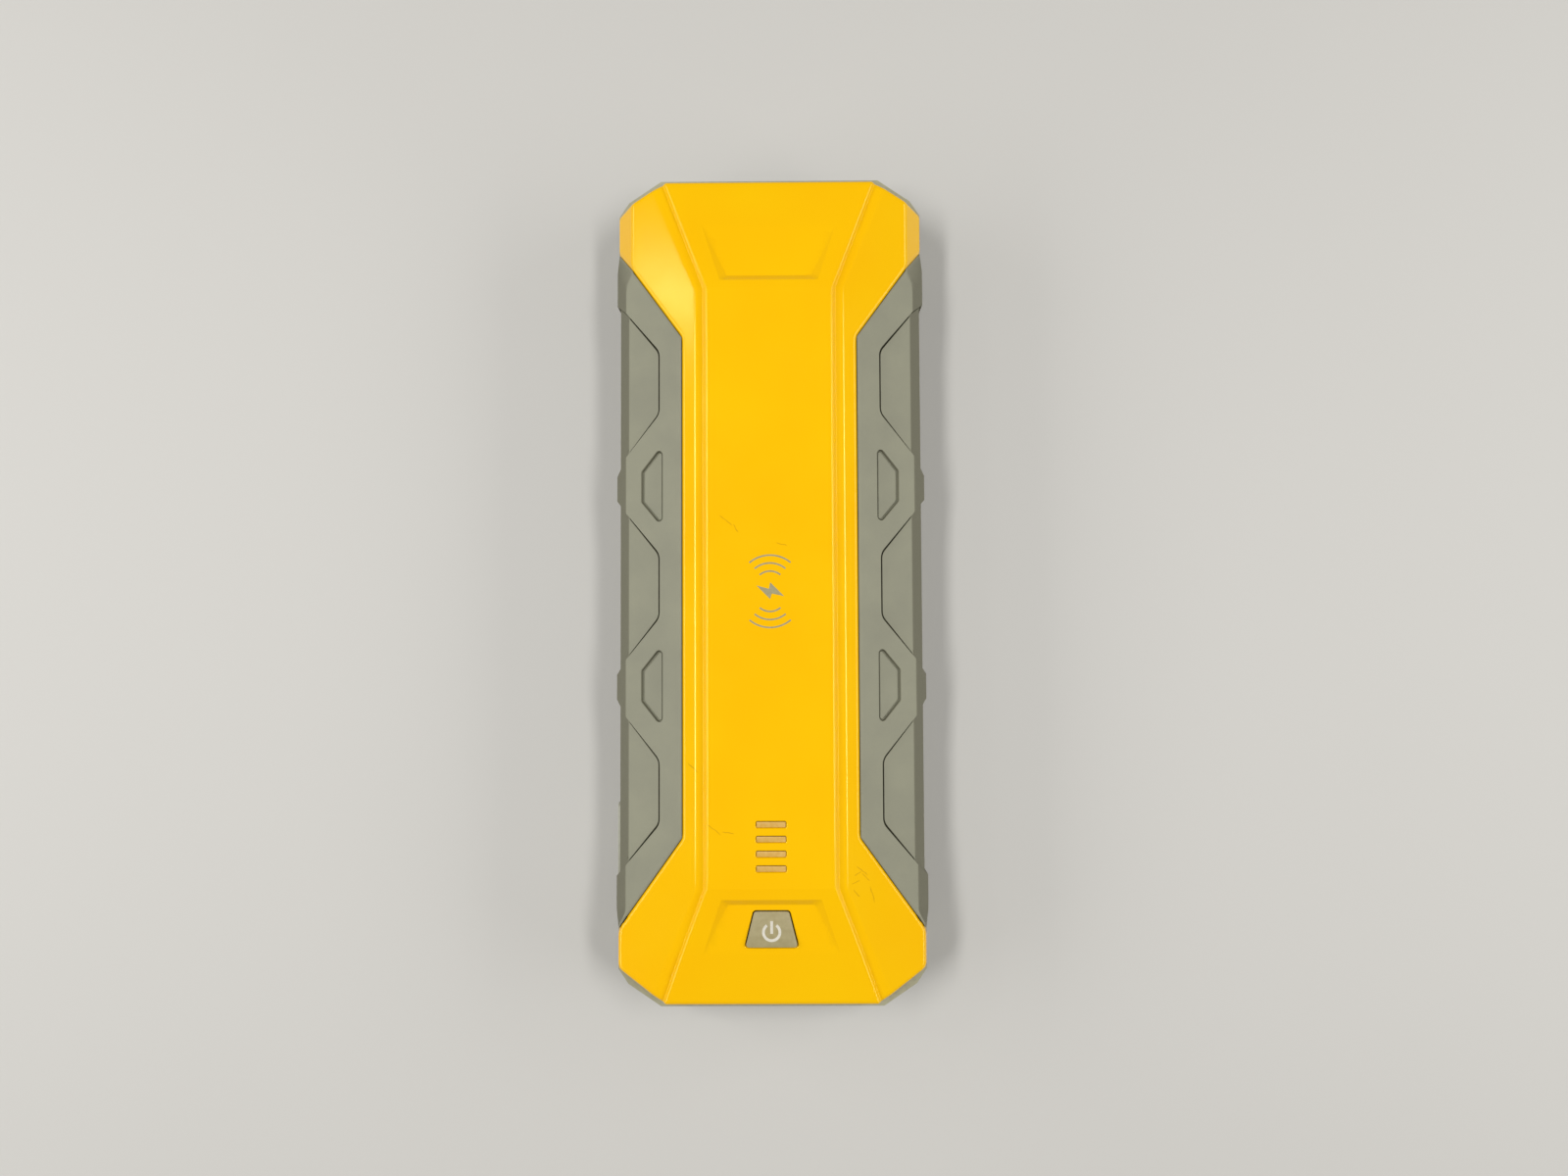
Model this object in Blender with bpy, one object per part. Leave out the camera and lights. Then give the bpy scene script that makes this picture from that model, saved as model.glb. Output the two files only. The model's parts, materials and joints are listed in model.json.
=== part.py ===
"""Jump starter pack: two moulded shells, soft side grips, and the battery and boards inside.

Row frame: +X right, +Y towards the torch end, +Z out of the yellow panel.
The feet stand on z = 0 and the origin is the middle of the footprint.
"""

import math

import bmesh
import bpy
from mathutils import Matrix, Vector

# ---------------------------------------------------------------- sizes, in metres

# Fits
SEAT_GAP = 0.0003  # between pieces that rest on each other
SLIDE_GAP = 0.0003  # round a piece that moves

# Case heights
PANEL_Z = 0.0350  # flat of the front panel
PARTING_Z = 0.0210  # where the cover meets the base
BASE_BOTTOM_Z = 0.0015
COVER_WALL = 0.0022
BASE_WALL = 0.0022
BASE_END_WALL = 0.0046  # thicker, to carry the cover's end walls

# Front facets
PANEL_HALF = 0.0174  # half-width of the flat panel
SHOULDER_SLOPE = 0.32  # fall of the shoulders, per unit of X
BEND_Y = 0.0820  # the panel bends down here
END_SLOPE = 0.14  # fall of the ends, per unit of Y
COVER_DRAFT = 0.14  # outward lean of the cover's end walls

# Outline of the yellow cover, from above
WAIST_HALF = 0.0242
WAIST_END_Y = 0.0688
HEAD_HALF = 0.0432
HEAD_START_Y = 0.0956
END_EDGE_HALF = HEAD_HALF - 0.0142
END_EDGE_Y = 0.1132
HEAD_CORNER_Y = END_EDGE_Y - 0.0080
HEAD_CREASE_X = HEAD_HALF - 0.0046  # a steeper facet falls outside this line

# Groove between the panel and the shoulders
GROOVE_LINE_X = 0.0183
GROOVE_END_X = 0.0300
GROOVE_DEPTH = 0.0009
GROOVE_INNER = 0.0009
GROOVE_OUTER = 0.0020

# Sunk field at each end
FIELD_START_Y = 0.0841
FIELD_START_HALF = 0.0139
FIELD_FADE_Y = 0.1000
FIELD_FADE_HALF = 0.0186
FIELD_DEPTH = 0.0015
FIELD_BANK = 0.0019

# Base shell outline
BASE_END_Y = END_EDGE_Y + 0.0041
BASE_END_HALF = HEAD_HALF - 0.0120
BASE_CORNER_X = HEAD_HALF - 0.0028
BASE_CORNER_Y = BASE_END_Y - 0.0062
BASE_SIDE_Y = BASE_END_Y - 0.0104
BASE_BEVEL = 0.0042  # bevel round the bottom edge

# Side grips
GRIP_THICKNESS = 0.0020
GRIP_BOTTOM_Z = 0.0060
GRIP_WALL_TOP_Z = 0.0190
GRIP_CREASE_X = HEAD_HALF - 0.0019
GRIP_WALL_X = HEAD_HALF + 0.0008
HOLLOW_CREASE_X = HEAD_HALF - 0.0033
HOLLOW_WALL_X = HEAD_HALF - 0.0002
HOLLOW_DEPTH = 0.0006
HOLLOW_INNER_X = WAIST_HALF + 0.0065
HOLLOW_MIDDLE_HALF = 0.0088
HOLLOW_FAR_LOW_Y = 0.0478
HOLLOW_FAR_HIGH_Y = 0.0653
HOLLOW_RADIUS = 0.0025
HOLLOW_FALL = 1.19  # Y gained per unit of X along the slanted sides
WINDOW_Y = 0.0276
WINDOW_INNER_X = WAIST_HALF + 0.0056
WINDOW_INNER_HALF = 0.0114
WINDOW_OUTER_X = WINDOW_INNER_X + 0.0060
WINDOW_OUTER_HALF = 0.0042
WINDOW_DEPTH = 0.0008
WINDOW_RADIUS = 0.0010

# Power button
BUTTON_TOP_Y = -0.0884
BUTTON_TOP_HALF = 0.0047
BUTTON_BOTTOM_Y = BUTTON_TOP_Y - 0.0096
BUTTON_BOTTOM_HALF = 0.0071
BUTTON_RADIUS = 0.0007
BUTTON_FLANGE = 0.0010
BUTTON_FLANGE_HEIGHT = 0.0010
BUTTON_TRAVEL = 0.0006
BUTTON_STEM_RADIUS = 0.0014
BUTTON_AXIS_Y = BUTTON_TOP_Y - 0.0050
BUTTON_PROUD = 0.0002  # the cap's top stands this much out of the field

# Charge slots and light guide
SLOT_COUNT = 4
SLOT_FIRST_Y = -0.06485
SLOT_PITCH = 0.00395
SLOT_HALF = 0.0041
SLOT_HEIGHT = 0.00185
GUIDE_RECESS = 0.0002
GUIDE_PLATE = 0.0012
GUIDE_RIM = 0.0012

# Battery
CELL_LENGTH = 0.1160
CELL_THICKNESS = 0.0080
CELL_MIDDLE_Y = CELL_LENGTH / 2 - 0.0480  # the tab end stays beside the board
CELL_TAB_LENGTH = 0.0050
CELL_TAB_WIDTH = 0.0080
CELL_TAB_THICKNESS = 0.0006
TRAY_WALL = 0.0010
TRAY_HEIGHT = 0.0080
LINK_THICKNESS = 0.0006
LINK_WIDTH = 0.0040
FOAM_THICKNESS = 0.0015
FOAM_WIDTH = 0.0420
FOAM_LENGTH = 0.0930

# Main board
BOARD_HALF = 0.0280
BOARD_LOW_Y = -0.1120
BOARD_HIGH_Y = -0.0640
BOARD_BOTTOM_Z = 0.0180
BOARD_THICKNESS = 0.0016
LED_LENGTH = 0.0020
LED_WIDTH = 0.0012
LED_HEIGHT = 0.0007
SWITCH_SIDE = 0.0060
SWITCH_HEIGHT = 0.0035
PLUNGER_RADIUS = 0.0016
PLUNGER_RISE = 0.0012
PLUNGER_DEPTH = 0.0015
CAPACITOR_RADIUS = 0.0040
CAPACITOR_HEIGHT = 0.0065
CAPACITOR_PLACES = ((-0.0200, -0.0800), (0.0180, -0.0800))
INDUCTOR_SIDE = 0.0120
INDUCTOR_HEIGHT = 0.0055
INDUCTOR_PLACE = (-0.0160, -0.0955)
SPREADER_LENGTH = 0.0200
SPREADER_WIDTH = 0.0120
SPREADER_HEIGHT = 0.0040
SPREADER_PLACE = (0.0150, -0.0960)

# Screws
SCREW_SHAFT_RADIUS = 0.0011
SCREW_HEAD_RADIUS = 0.0022
SCREW_HEAD_HEIGHT = 0.0013
SCREW_CROWN_SHARE = 0.72  # flat top of the head, as a share of its radius
SCREW_POINT_SHARE = 0.40  # end of the point, as a share of the shaft's radius
CASE_SCREW_LENGTH = 0.0110
BOARD_SCREW_LENGTH = 0.0060
POST_RADIUS = 0.0036
SCREW_SEAT_Z = 0.0115
CASE_SCREW_X = HEAD_HALF - 0.0102
CASE_SCREW_Y = END_EDGE_Y - 0.0127
SIDE_SCREW_X = HEAD_HALF - 0.0077
CELL_WIDTH = SIDE_SCREW_X - POST_RADIUS - 0.0019  # two cells and the tray fit between the side posts
BOARD_POST_RADIUS = 0.0028
BOARD_SCREW_PLACES = ((-0.0230, -0.1085), (0.0235, -0.1085), (0.0235, -0.0670))

# Jump-lead socket in the left wall, and its flap
SOCKET_Y = -0.0717
SOCKET_Z = 0.0128
SOCKET_LENGTH = 0.0190
SOCKET_HEIGHT = 0.0100
SOCKET_DEPTH = 0.0180
SOCKET_MOUTH_LENGTH = 0.0166
SOCKET_MOUTH_HEIGHT = 0.0078
SOCKET_MOUTH_DEPTH = 0.0062
SOCKET_FLANGE = 0.0012
CONTACT_PITCH = 0.0088
CONTACT_RADIUS = 0.0028
CONTACT_BORE = 0.0019
CONTACT_LENGTH = 0.0140
CONTACT_BORE_DEPTH = 0.0098
CONTACT_VENT = 0.0006
FLAP_LENGTH = 0.0214
FLAP_HEIGHT = 0.0116
FLAP_PROUD = 0.00035
FLAP_PLUG_DEPTH = 0.0011
FLAP_PLUG_INSET = 0.0009
FLAP_RADIUS = 0.0016
ANCHOR_LENGTH = 0.0032
ANCHOR_NECK_HEIGHT = 0.0064
ANCHOR_BUTTON = 0.0020

# USB ports in the button end
USB_A_X = 0.0110
USB_A_WIDTH = 0.0135
USB_A_HEIGHT = 0.0060
USB_A_DEPTH = 0.0140
USB_C_X = -0.0120
USB_C_WIDTH = 0.0092
USB_C_HEIGHT = 0.0034
USB_C_DEPTH = 0.0080
USB_WALL = 0.0004
USB_A_TONGUE = 0.0014
USB_C_TONGUE = 0.0007
USB_ROOT_SHARE = 0.2  # part of the port's depth filled by the tongue's root
PORT_MARGIN = 0.0006

# Torch in the far end
TORCH_Z = 0.0122
TORCH_RADIUS = 0.0066
LENS_THICKNESS = 0.0016
REFLECTOR_DEPTH = 0.0075
REFLECTOR_BACK_RADIUS = 0.0034
REFLECTOR_WALL = 0.0008
TORCH_LED_SIDE = 0.0035
TORCH_LED_HEIGHT = 0.0010
TORCH_BOARD_HALF = 0.0075
TORCH_BOARD_THICKNESS = 0.0016

# Charging coil under the panel
COIL_Y = -0.00185
COIL_OUTER = 0.0195
COIL_INNER = 0.0095
COIL_THICKNESS = 0.0010
FERRITE_HALF = 0.0212
FERRITE_THICKNESS = 0.0008
COIL_BOARD_HALF_X = 0.0140
COIL_BOARD_HALF_Y = 0.0180
COIL_BOARD_THICKNESS = 0.0012

# Feet and label field
FOOT_X = 0.0270
FOOT_Y = 0.0900
FOOT_RADIUS = 0.0055
FOOT_POCKET = 0.0008
LABEL_HALF_X = 0.0260
LABEL_HALF_Y = 0.0420
LABEL_DEPTH = 0.0003

# Leads
BATTERY_LEAD_RADIUS = 0.0016
TWIN_LEAD_RADIUS = 0.0009

ROUND_STEPS = 20
ARC_STEPS = 3
REACH = 0.2  # longer than the case, for cutters that run right through

# ---------------------------------------------------------------- worked-out heights

BASE_FLOOR_Z = BASE_BOTTOM_Z + BASE_WALL
BASE_TOP_Z = PARTING_Z - SEAT_GAP
CEILING_Z = PANEL_Z - COVER_WALL
BOARD_TOP_Z = BOARD_BOTTOM_Z + BOARD_THICKNESS
SEAT_DEPTH = GRIP_THICKNESS + SEAT_GAP
SEAT_WALL_X = HOLLOW_WALL_X - SEAT_DEPTH
CELL_LOW_Z = BASE_FLOOR_Z + SEAT_GAP + TRAY_WALL + SEAT_GAP
CELL_PITCH_Z = CELL_THICKNESS + SEAT_GAP
CELL_X = (CELL_WIDTH + SEAT_GAP) / 2
CELL_TOP_Z = CELL_LOW_Z + CELL_PITCH_Z + CELL_THICKNESS
CELL_END_Y = CELL_MIDDLE_Y - CELL_LENGTH / 2
WALL_IN_X = SEAT_WALL_X - BASE_WALL


def shoulder_z(x):
    """Height of the shoulder facet at X = x."""
    return PANEL_Z - SHOULDER_SLOPE * (abs(x) - PANEL_HALF)


def end_z(y):
    """Height of the end facet at Y = y."""
    return PANEL_Z - END_SLOPE * (abs(y) - BEND_Y)


# ---------------------------------------------------------------- materials


def linear(part):
    """One sRGB channel, 0 to 255, as a linear value."""
    share = part / 255
    return share / 12.92 if share <= 0.04045 else ((share + 0.055) / 1.055) ** 2.4


def material(name, hex_colour, roughness, metallic=0.0):
    made = bpy.data.materials.get(name)
    if made is None:
        made = bpy.data.materials.new(name)
        made.use_nodes = True
        shader = made.node_tree.nodes["Principled BSDF"]
        channels = [linear(int(hex_colour[i : i + 2], 16)) for i in (0, 2, 4)]
        shader.inputs["Base Color"].default_value = (*channels, 1.0)
        shader.inputs["Roughness"].default_value = roughness
        shader.inputs["Metallic"].default_value = metallic
    return made


def yellow_abs():
    return material("gloss_yellow_abs", "ffc400", 0.22)


def grey_abs():
    return material("textured_grey_abs", "8b8975", 0.55)


def soft_grip():
    return material("soft_touch_elastomer", "9f9e8a", 0.75)


def button_plastic():
    return material("satin_button_plastic", "a69a6e", 0.45)


def clear_guide():
    return material("frosted_polycarbonate", "d6ac73", 0.35)


def rubber():
    return material("black_rubber", "2a2a2a", 0.8)


def flap_rubber():
    return material("grey_rubber", "b4b3a0", 0.6)


def steel():
    return material("zinc_plated_steel", "b9bcc0", 0.35, 1.0)


def brass():
    return material("gold_plated_brass", "d9b45b", 0.3, 1.0)


def nickel():
    return material("nickel_strip", "b8b4a8", 0.35, 1.0)


def laminate():
    return material("green_solder_mask", "1f5a34", 0.45)


def pouch():
    return material("aluminium_pouch_foil", "a9adb2", 0.4, 0.6)


def black_plastic():
    return material("black_nylon", "1d1d1f", 0.5)


def blue_plastic():
    return material("blue_nylon", "22509a", 0.5)


def white_plastic():
    return material("white_led_resin", "f1efe4", 0.4)


def mirror_plastic():
    return material("metallised_plastic", "e6e6e6", 0.12, 1.0)


def clear_lens():
    return material("clear_polycarbonate", "e8eef0", 0.08)


def ferrite():
    return material("ferrite_sheet", "2e2b2b", 0.6)


def enamelled_copper():
    return material("enamelled_copper", "b4662e", 0.35, 0.8)


def foam():
    return material("closed_cell_foam", "3a3a3c", 0.9)


def red_sleeve():
    return material("red_silicone_sleeve", "b3241c", 0.5)


def black_sleeve():
    return material("black_silicone_sleeve", "202022", 0.5)


def white_sleeve():
    return material("white_pvc_sleeve", "d9d7cc", 0.5)


# ---------------------------------------------------------------- shape helpers


def add_object(name, bm, finish=None, smooth=False):
    """Turns a bmesh into an object with outward faces."""
    bm.normal_update()
    bmesh.ops.recalc_face_normals(bm, faces=bm.faces)
    mesh = bpy.data.meshes.new(name)
    bm.to_mesh(mesh)
    bm.free()
    if smooth:
        mesh.shade_smooth()
        mesh.set_sharp_from_angle(angle=math.radians(35))
    made = bpy.data.objects.new(name, mesh)
    bpy.context.scene.collection.objects.link(made)
    if finish is None:
        made.hide_render = True
        made.display_type = "WIRE"
    else:
        mesh.materials.append(finish)
    return made


def facet_mesh(planes):
    """Convex solid inside every plane, each given as a point and an outward normal."""
    bm = bmesh.new()
    bmesh.ops.create_cube(bm, size=2 * REACH)
    for point, normal in planes:
        sliced = bmesh.ops.bisect_plane(
            bm,
            geom=bm.verts[:] + bm.edges[:] + bm.faces[:],
            dist=1e-7,
            plane_co=point,
            plane_no=Vector(normal).normalized(),
            clear_outer=True,
        )
        rim = [item for item in sliced["geom_cut"] if isinstance(item, bmesh.types.BMEdge)]
        if rim:
            bmesh.ops.edgeloop_fill(bm, edges=rim)
    return bm


def prism_mesh(outline, low, high):
    """Straight prism on a plan outline."""
    bm = bmesh.new()
    floor = bm.faces.new([bm.verts.new((x, y, low)) for x, y in outline])
    grown = bmesh.ops.extrude_face_region(bm, geom=[floor])
    raised = [item for item in grown["geom"] if isinstance(item, bmesh.types.BMVert)]
    bmesh.ops.translate(bm, verts=raised, vec=(0, 0, high - low))
    return bm


def box_mesh(low, high):
    outline = [(low[0], low[1]), (high[0], low[1]), (high[0], high[1]), (low[0], high[1])]
    return prism_mesh(outline, low[2], high[2])


def block(name, finish, middle, size):
    """Box with its middle on the given point."""
    low = [m - s / 2 for m, s in zip(middle, size)]
    high = [m + s / 2 for m, s in zip(middle, size)]
    return add_object(name, box_mesh(low, high), finish)


def turned_mesh(profile, place, axis="Z", closed=False):
    """Solid turned from (radius, height) points about an axis through place."""
    bm = bmesh.new()
    rings = []
    for radius, height in profile:
        ring = []
        for step in range(ROUND_STEPS):
            turn = 2 * math.pi * step / ROUND_STEPS
            ring.append((radius * math.cos(turn), radius * math.sin(turn), height))
        rings.append([bm.verts.new(point) for point in ring])
    pairs = list(zip(rings, rings[1:]))
    if closed:
        pairs.append((rings[-1], rings[0]))
    else:
        bm.faces.new(rings[0])
        bm.faces.new(rings[-1])
    for lower, upper in pairs:
        for step in range(ROUND_STEPS):
            after = (step + 1) % ROUND_STEPS
            bm.faces.new((lower[step], lower[after], upper[after], upper[step]))
    for vert in bm.verts:
        x, y, z = vert.co
        turned = {"X": (z, x, y), "Y": (x, z, y), "Z": (x, y, z)}[axis]
        vert.co = Vector(turned) + Vector(place)
    return bm


def rod_mesh(radius, low, high, place, axis="Z"):
    """Cylinder between two heights along an axis through place."""
    return turned_mesh([(radius, low), (radius, high)], place, axis)


def gathered(meshes):
    """One mesh from several that stand apart."""
    whole = bmesh.new()
    for bm in meshes:
        passing = bpy.data.meshes.new("passing")
        bm.to_mesh(passing)
        bm.free()
        whole.from_mesh(passing)
        bpy.data.meshes.remove(passing)
    return whole


def rods_mesh(radius, low, high, places):
    """Cylinders of one size, upright at each (x, y) place."""
    return gathered([rod_mesh(radius, low, high, (x, y, 0)) for x, y in places])


def rounded(points, radius):
    """Plan outline with every corner turned into an arc."""
    made = []
    for index, point in enumerate(points):
        here = Vector(point)
        back = (Vector(points[index - 1]) - here).normalized()
        ahead = (Vector(points[(index + 1) % len(points)]) - here).normalized()
        half_turn = back.angle(ahead) / 2
        centre = here + (back + ahead).normalized() * (radius / math.sin(half_turn))
        start = here + back * (radius / math.tan(half_turn)) - centre
        sweep = start.angle_signed(here + ahead * (radius / math.tan(half_turn)) - centre)
        for step in range(ARC_STEPS + 1):
            turn = -sweep * step / ARC_STEPS
            arm = Vector(
                (
                    start.x * math.cos(turn) - start.y * math.sin(turn),
                    start.x * math.sin(turn) + start.y * math.cos(turn),
                )
            )
            made.append(tuple(centre + arm))
    return made


def inset(points, distance):
    """Plan outline moved inwards by a distance; points run anticlockwise."""
    made = []
    for index, point in enumerate(points):
        here = Vector(point)
        before = (here - Vector(points[index - 1])).normalized()
        after = (Vector(points[(index + 1) % len(points)]) - here).normalized()
        normal_before = Vector((-before.y, before.x))
        normal_after = Vector((-after.y, after.x))
        shift = (normal_before + normal_after) / (1 + normal_before.dot(normal_after))
        made.append(tuple(here + shift * distance))
    return made


def mirrored(points):
    """Outline of the right half, from the middle of one end to the other, made whole."""
    left = [(-x, y) for x, y in reversed(points)]
    return points + left


def boolean(target, other, operation):
    step = target.modifiers.new(other.name, "BOOLEAN")
    step.operation = operation
    step.solver = "EXACT"
    step.object = other
    return target


def cut(target, bm, name):
    """Takes a shape away from an object."""
    return boolean(target, add_object(f"cutter_{name}", bm), "DIFFERENCE")


def fuse(target, bm, name):
    """Adds a shape to an object."""
    return boolean(target, add_object(f"add_{name}", bm), "UNION")


def put_origin(target, place):
    """Moves an object's origin, and leaves its shape where it is."""
    target.data.transform(Matrix.Translation(-Vector(place)))
    target.location = place
    return target


def lead(name, finish, route, radius, points):
    """Round lead along a smooth curve through the route's own points."""
    knots = [Vector(point) for point in route]
    ends = [2 * knots[0] - knots[1]] + knots + [2 * knots[-1] - knots[-2]]
    spans = len(knots) - 1
    curve = bpy.data.curves.new(name, "CURVE")
    curve.dimensions = "3D"
    curve.bevel_depth = radius
    curve.bevel_resolution = 2
    curve.render_resolution_u = 0
    curve.use_fill_caps = True
    spline = curve.splines.new("POLY")
    spline.points.add(points)
    for index in range(points + 1):
        along = min(index * spans / points, spans - 1e-9)
        span = int(along)
        share = along - span
        a, b, c, d = ends[span : span + 4]
        place = 0.5 * (
            2 * b
            + (c - a) * share
            + (2 * a - 5 * b + 4 * c - d) * share**2
            + (3 * b - a - 3 * c + d) * share**3
        )
        spline.points[index].co = (*place, 1.0)
    made = bpy.data.objects.new(name, curve)
    curve.materials.append(finish)
    bpy.context.scene.collection.objects.link(made)
    return made


# ---------------------------------------------------------------- case facets


def side_planes(crease_x, wall_x, depth, foot_z=GRIP_WALL_TOP_Z):
    """Both shoulders, side facets (down to foot_z) and side walls, all sunk by a depth."""
    planes = []
    crease_z = shoulder_z(crease_x)
    run = wall_x - crease_x
    fall = crease_z - foot_z
    for side in (-1, 1):
        for point, normal in (
            (Vector((side * PANEL_HALF, 0, PANEL_Z)), Vector((side * SHOULDER_SLOPE, 0, 1))),
            (Vector((side * crease_x, 0, crease_z)), Vector((side * fall, 0, run))),
            (Vector((side * wall_x, 0, 0)), Vector((side, 0, 0))),
        ):
            normal.normalize()
            planes.append((point - normal * depth, normal))
    return planes


def end_planes(depth):
    """Both end facets, end walls and corner walls of the cover, sunk by a depth."""
    planes = []
    run = HEAD_HALF - END_EDGE_HALF
    rise = END_EDGE_Y - HEAD_CORNER_Y
    corner = Vector((rise, run)).normalized()
    edge_z = end_z(END_EDGE_Y)
    for end in (-1, 1):
        for point, normal in (
            (Vector((0, end * BEND_Y, PANEL_Z)), Vector((0, end * END_SLOPE, 1))),
            (Vector((0, end * END_EDGE_Y, edge_z)), Vector((0, end, COVER_DRAFT))),
            (
                Vector((END_EDGE_HALF, end * END_EDGE_Y, edge_z)),
                Vector((corner.x, end * corner.y, COVER_DRAFT)),
            ),
            (
                Vector((-END_EDGE_HALF, end * END_EDGE_Y, edge_z)),
                Vector((-corner.x, end * corner.y, COVER_DRAFT)),
            ),
        ):
            normal.normalize()
            planes.append((point - normal * depth, normal))
    return planes


def flat_planes(low, high):
    return [((0, 0, low), (0, 0, -1)), ((0, 0, high), (0, 0, 1))]


def cover_outline(distance=0.0):
    """Plan outline of the yellow face, moved inwards by a distance."""
    right = [
        (WAIST_HALF, -WAIST_END_Y),
        (WAIST_HALF, WAIST_END_Y),
        (HEAD_HALF + COVER_WALL, HEAD_START_Y + COVER_WALL * HOLLOW_FALL),
        (HEAD_HALF + COVER_WALL, REACH),
    ]
    lower = [(HEAD_HALF + COVER_WALL, -REACH), (right[2][0], -right[2][1])]
    return inset(mirrored(lower + right), distance)


def groove_mesh(side):
    """V cut along one edge of the panel, and out to a corner at each end."""
    bm = bmesh.new()
    flare = (GROOVE_END_X - GROOVE_LINE_X) / (END_EDGE_Y - BEND_Y)
    far_y = END_EDGE_Y + FIELD_BANK
    far_x = GROOVE_LINE_X + flare * (far_y - BEND_Y)
    half = [(GROOVE_LINE_X, BEND_Y, PANEL_Z), (far_x, far_y, end_z(far_y))]
    stations = [(x, -y, z) for x, y, z in reversed(half)] + half
    outer_fall = SHOULDER_SLOPE * GROOVE_OUTER
    rings = []
    for x, y, z in stations:
        section = (
            (x - 2 * GROOVE_INNER, z + GROOVE_DEPTH),
            (x, z - GROOVE_DEPTH),
            (x + 2 * GROOVE_OUTER, z + GROOVE_DEPTH - 2 * outer_fall),
        )
        rings.append([bm.verts.new((side * a, y, b)) for a, b in section])
    for near, far in zip(rings, rings[1:]):
        for index in range(3):
            after = (index + 1) % 3
            bm.faces.new((near[index], near[after], far[after], far[index]))
    bm.faces.new(rings[0])
    bm.faces.new(rings[-1])
    return bm


def field_mesh(end):
    """Wedge that sinks the soft field into one end of the cover."""
    start_z = end_z(FIELD_START_Y)
    floor_start = (FIELD_START_Y + FIELD_BANK, start_z - FIELD_DEPTH)
    floor_end = (FIELD_FADE_Y, end_z(FIELD_FADE_Y))
    floor_rise = (floor_end[1] - floor_start[1]) / (floor_end[0] - floor_start[0])
    flare = (FIELD_FADE_HALF - FIELD_START_HALF) / (FIELD_FADE_Y - FIELD_START_Y)
    planes = [
        ((0, end * floor_start[0], floor_start[1]), (0, end * floor_rise, -1)),
        ((0, end * FIELD_START_Y, start_z), (0, -end * FIELD_DEPTH, -FIELD_BANK)),
        ((0, 0, PANEL_Z + COVER_WALL), (0, 0, 1)),
    ]
    lean = END_SLOPE * FIELD_BANK + flare * FIELD_DEPTH
    for side in (-1, 1):
        start = (side * FIELD_START_HALF, end * FIELD_START_Y, start_z)
        planes.append((start, (side * FIELD_DEPTH, -end * lean, -FIELD_BANK)))
    return facet_mesh(planes)


def button_outline(margin):
    """Trapezoid of the power button, grown by a margin."""
    corners = [
        (BUTTON_BOTTOM_HALF, BUTTON_BOTTOM_Y),
        (BUTTON_TOP_HALF, BUTTON_TOP_Y),
        (-BUTTON_TOP_HALF, BUTTON_TOP_Y),
        (-BUTTON_BOTTOM_HALF, BUTTON_BOTTOM_Y),
    ]
    return rounded(inset(corners, -margin), BUTTON_RADIUS + margin)


def slot_middles():
    return [SLOT_FIRST_Y - SLOT_PITCH * index for index in range(SLOT_COUNT)]


def case_screw_places():
    corners = [(x, y) for y in (-CASE_SCREW_Y, CASE_SCREW_Y) for x in (-CASE_SCREW_X, CASE_SCREW_X)]
    return corners + [(-SIDE_SCREW_X, 0.0), (SIDE_SCREW_X, 0.0)]


def front_cover():
    """Yellow face, sunk flanges under the grips, and a boss over each case screw."""
    seat = side_planes(GRIP_CREASE_X, HOLLOW_WALL_X, SEAT_DEPTH) + end_planes(SEAT_DEPTH)
    seat += flat_planes(0, PANEL_Z - SEAT_DEPTH)
    cover = add_object("front_cover", facet_mesh(seat), yellow_abs())
    skin = side_planes(HEAD_CREASE_X, HEAD_HALF, 0.0, PARTING_Z)
    skin += end_planes(0.0) + flat_planes(0, PANEL_Z)
    face = add_object("add_face", facet_mesh(skin))
    face_prism = prism_mesh(cover_outline(), SEAT_DEPTH, REACH)
    boolean(face, add_object("guide_face", face_prism), "INTERSECT")
    boolean(cover, face, "UNION")
    boolean(cover, cover_room(), "DIFFERENCE")
    for end in (-1, 1):
        cut(cover, field_mesh(end), f"field_{end}")
        cut(cover, groove_mesh(end), f"groove_{end}")
    bosses = []
    for x, y in case_screw_places():
        top = min(shoulder_z(x), end_z(y)) - SEAT_DEPTH - COVER_WALL / 2
        bosses.append(rod_mesh(POST_RADIUS, PARTING_Z / 2, top, (x, y, 0)))
    fuse(cover, gathered(bosses), "bosses")
    pilot_top = SCREW_SEAT_Z + CASE_SCREW_LENGTH + SEAT_GAP
    cut(cover, rods_mesh(SCREW_SHAFT_RADIUS + SEAT_GAP, 0, pilot_top, case_screw_places()), "pilots")
    cut(cover, prism_mesh(button_outline(SLIDE_GAP), 0, REACH), "button_hole")
    half_y = SLOT_HEIGHT / 2
    slots = [box_mesh((-SLOT_HALF, y - half_y, 0), (SLOT_HALF, y + half_y, REACH)) for y in slot_middles()]
    cut(cover, gathered(slots), "slots")
    return cut(cover, box_mesh((-REACH, -REACH, -REACH), (REACH, REACH, PARTING_Z)), "below_parting")


def cover_room():
    """Hollow of the cover: low under the grips, higher under the yellow face."""
    depth = SEAT_DEPTH + COVER_WALL
    low_room = side_planes(GRIP_CREASE_X, HOLLOW_WALL_X, depth) + end_planes(depth)
    low_room += flat_planes(-SEAT_DEPTH, CEILING_Z - SEAT_DEPTH)
    room = add_object("cutter_room", facet_mesh(low_room))
    high_room = side_planes(HEAD_CREASE_X, HEAD_HALF, COVER_WALL, PARTING_Z)
    high_room += end_planes(COVER_WALL)
    loft = add_object("add_loft", facet_mesh(high_room + flat_planes(0, CEILING_Z)))
    inner_prism = prism_mesh(cover_outline(COVER_WALL), SEAT_DEPTH, REACH)
    boolean(loft, add_object("guide_loft", inner_prism), "INTERSECT")
    return boolean(room, loft, "UNION")


# ---------------------------------------------------------------- base shell


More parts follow.
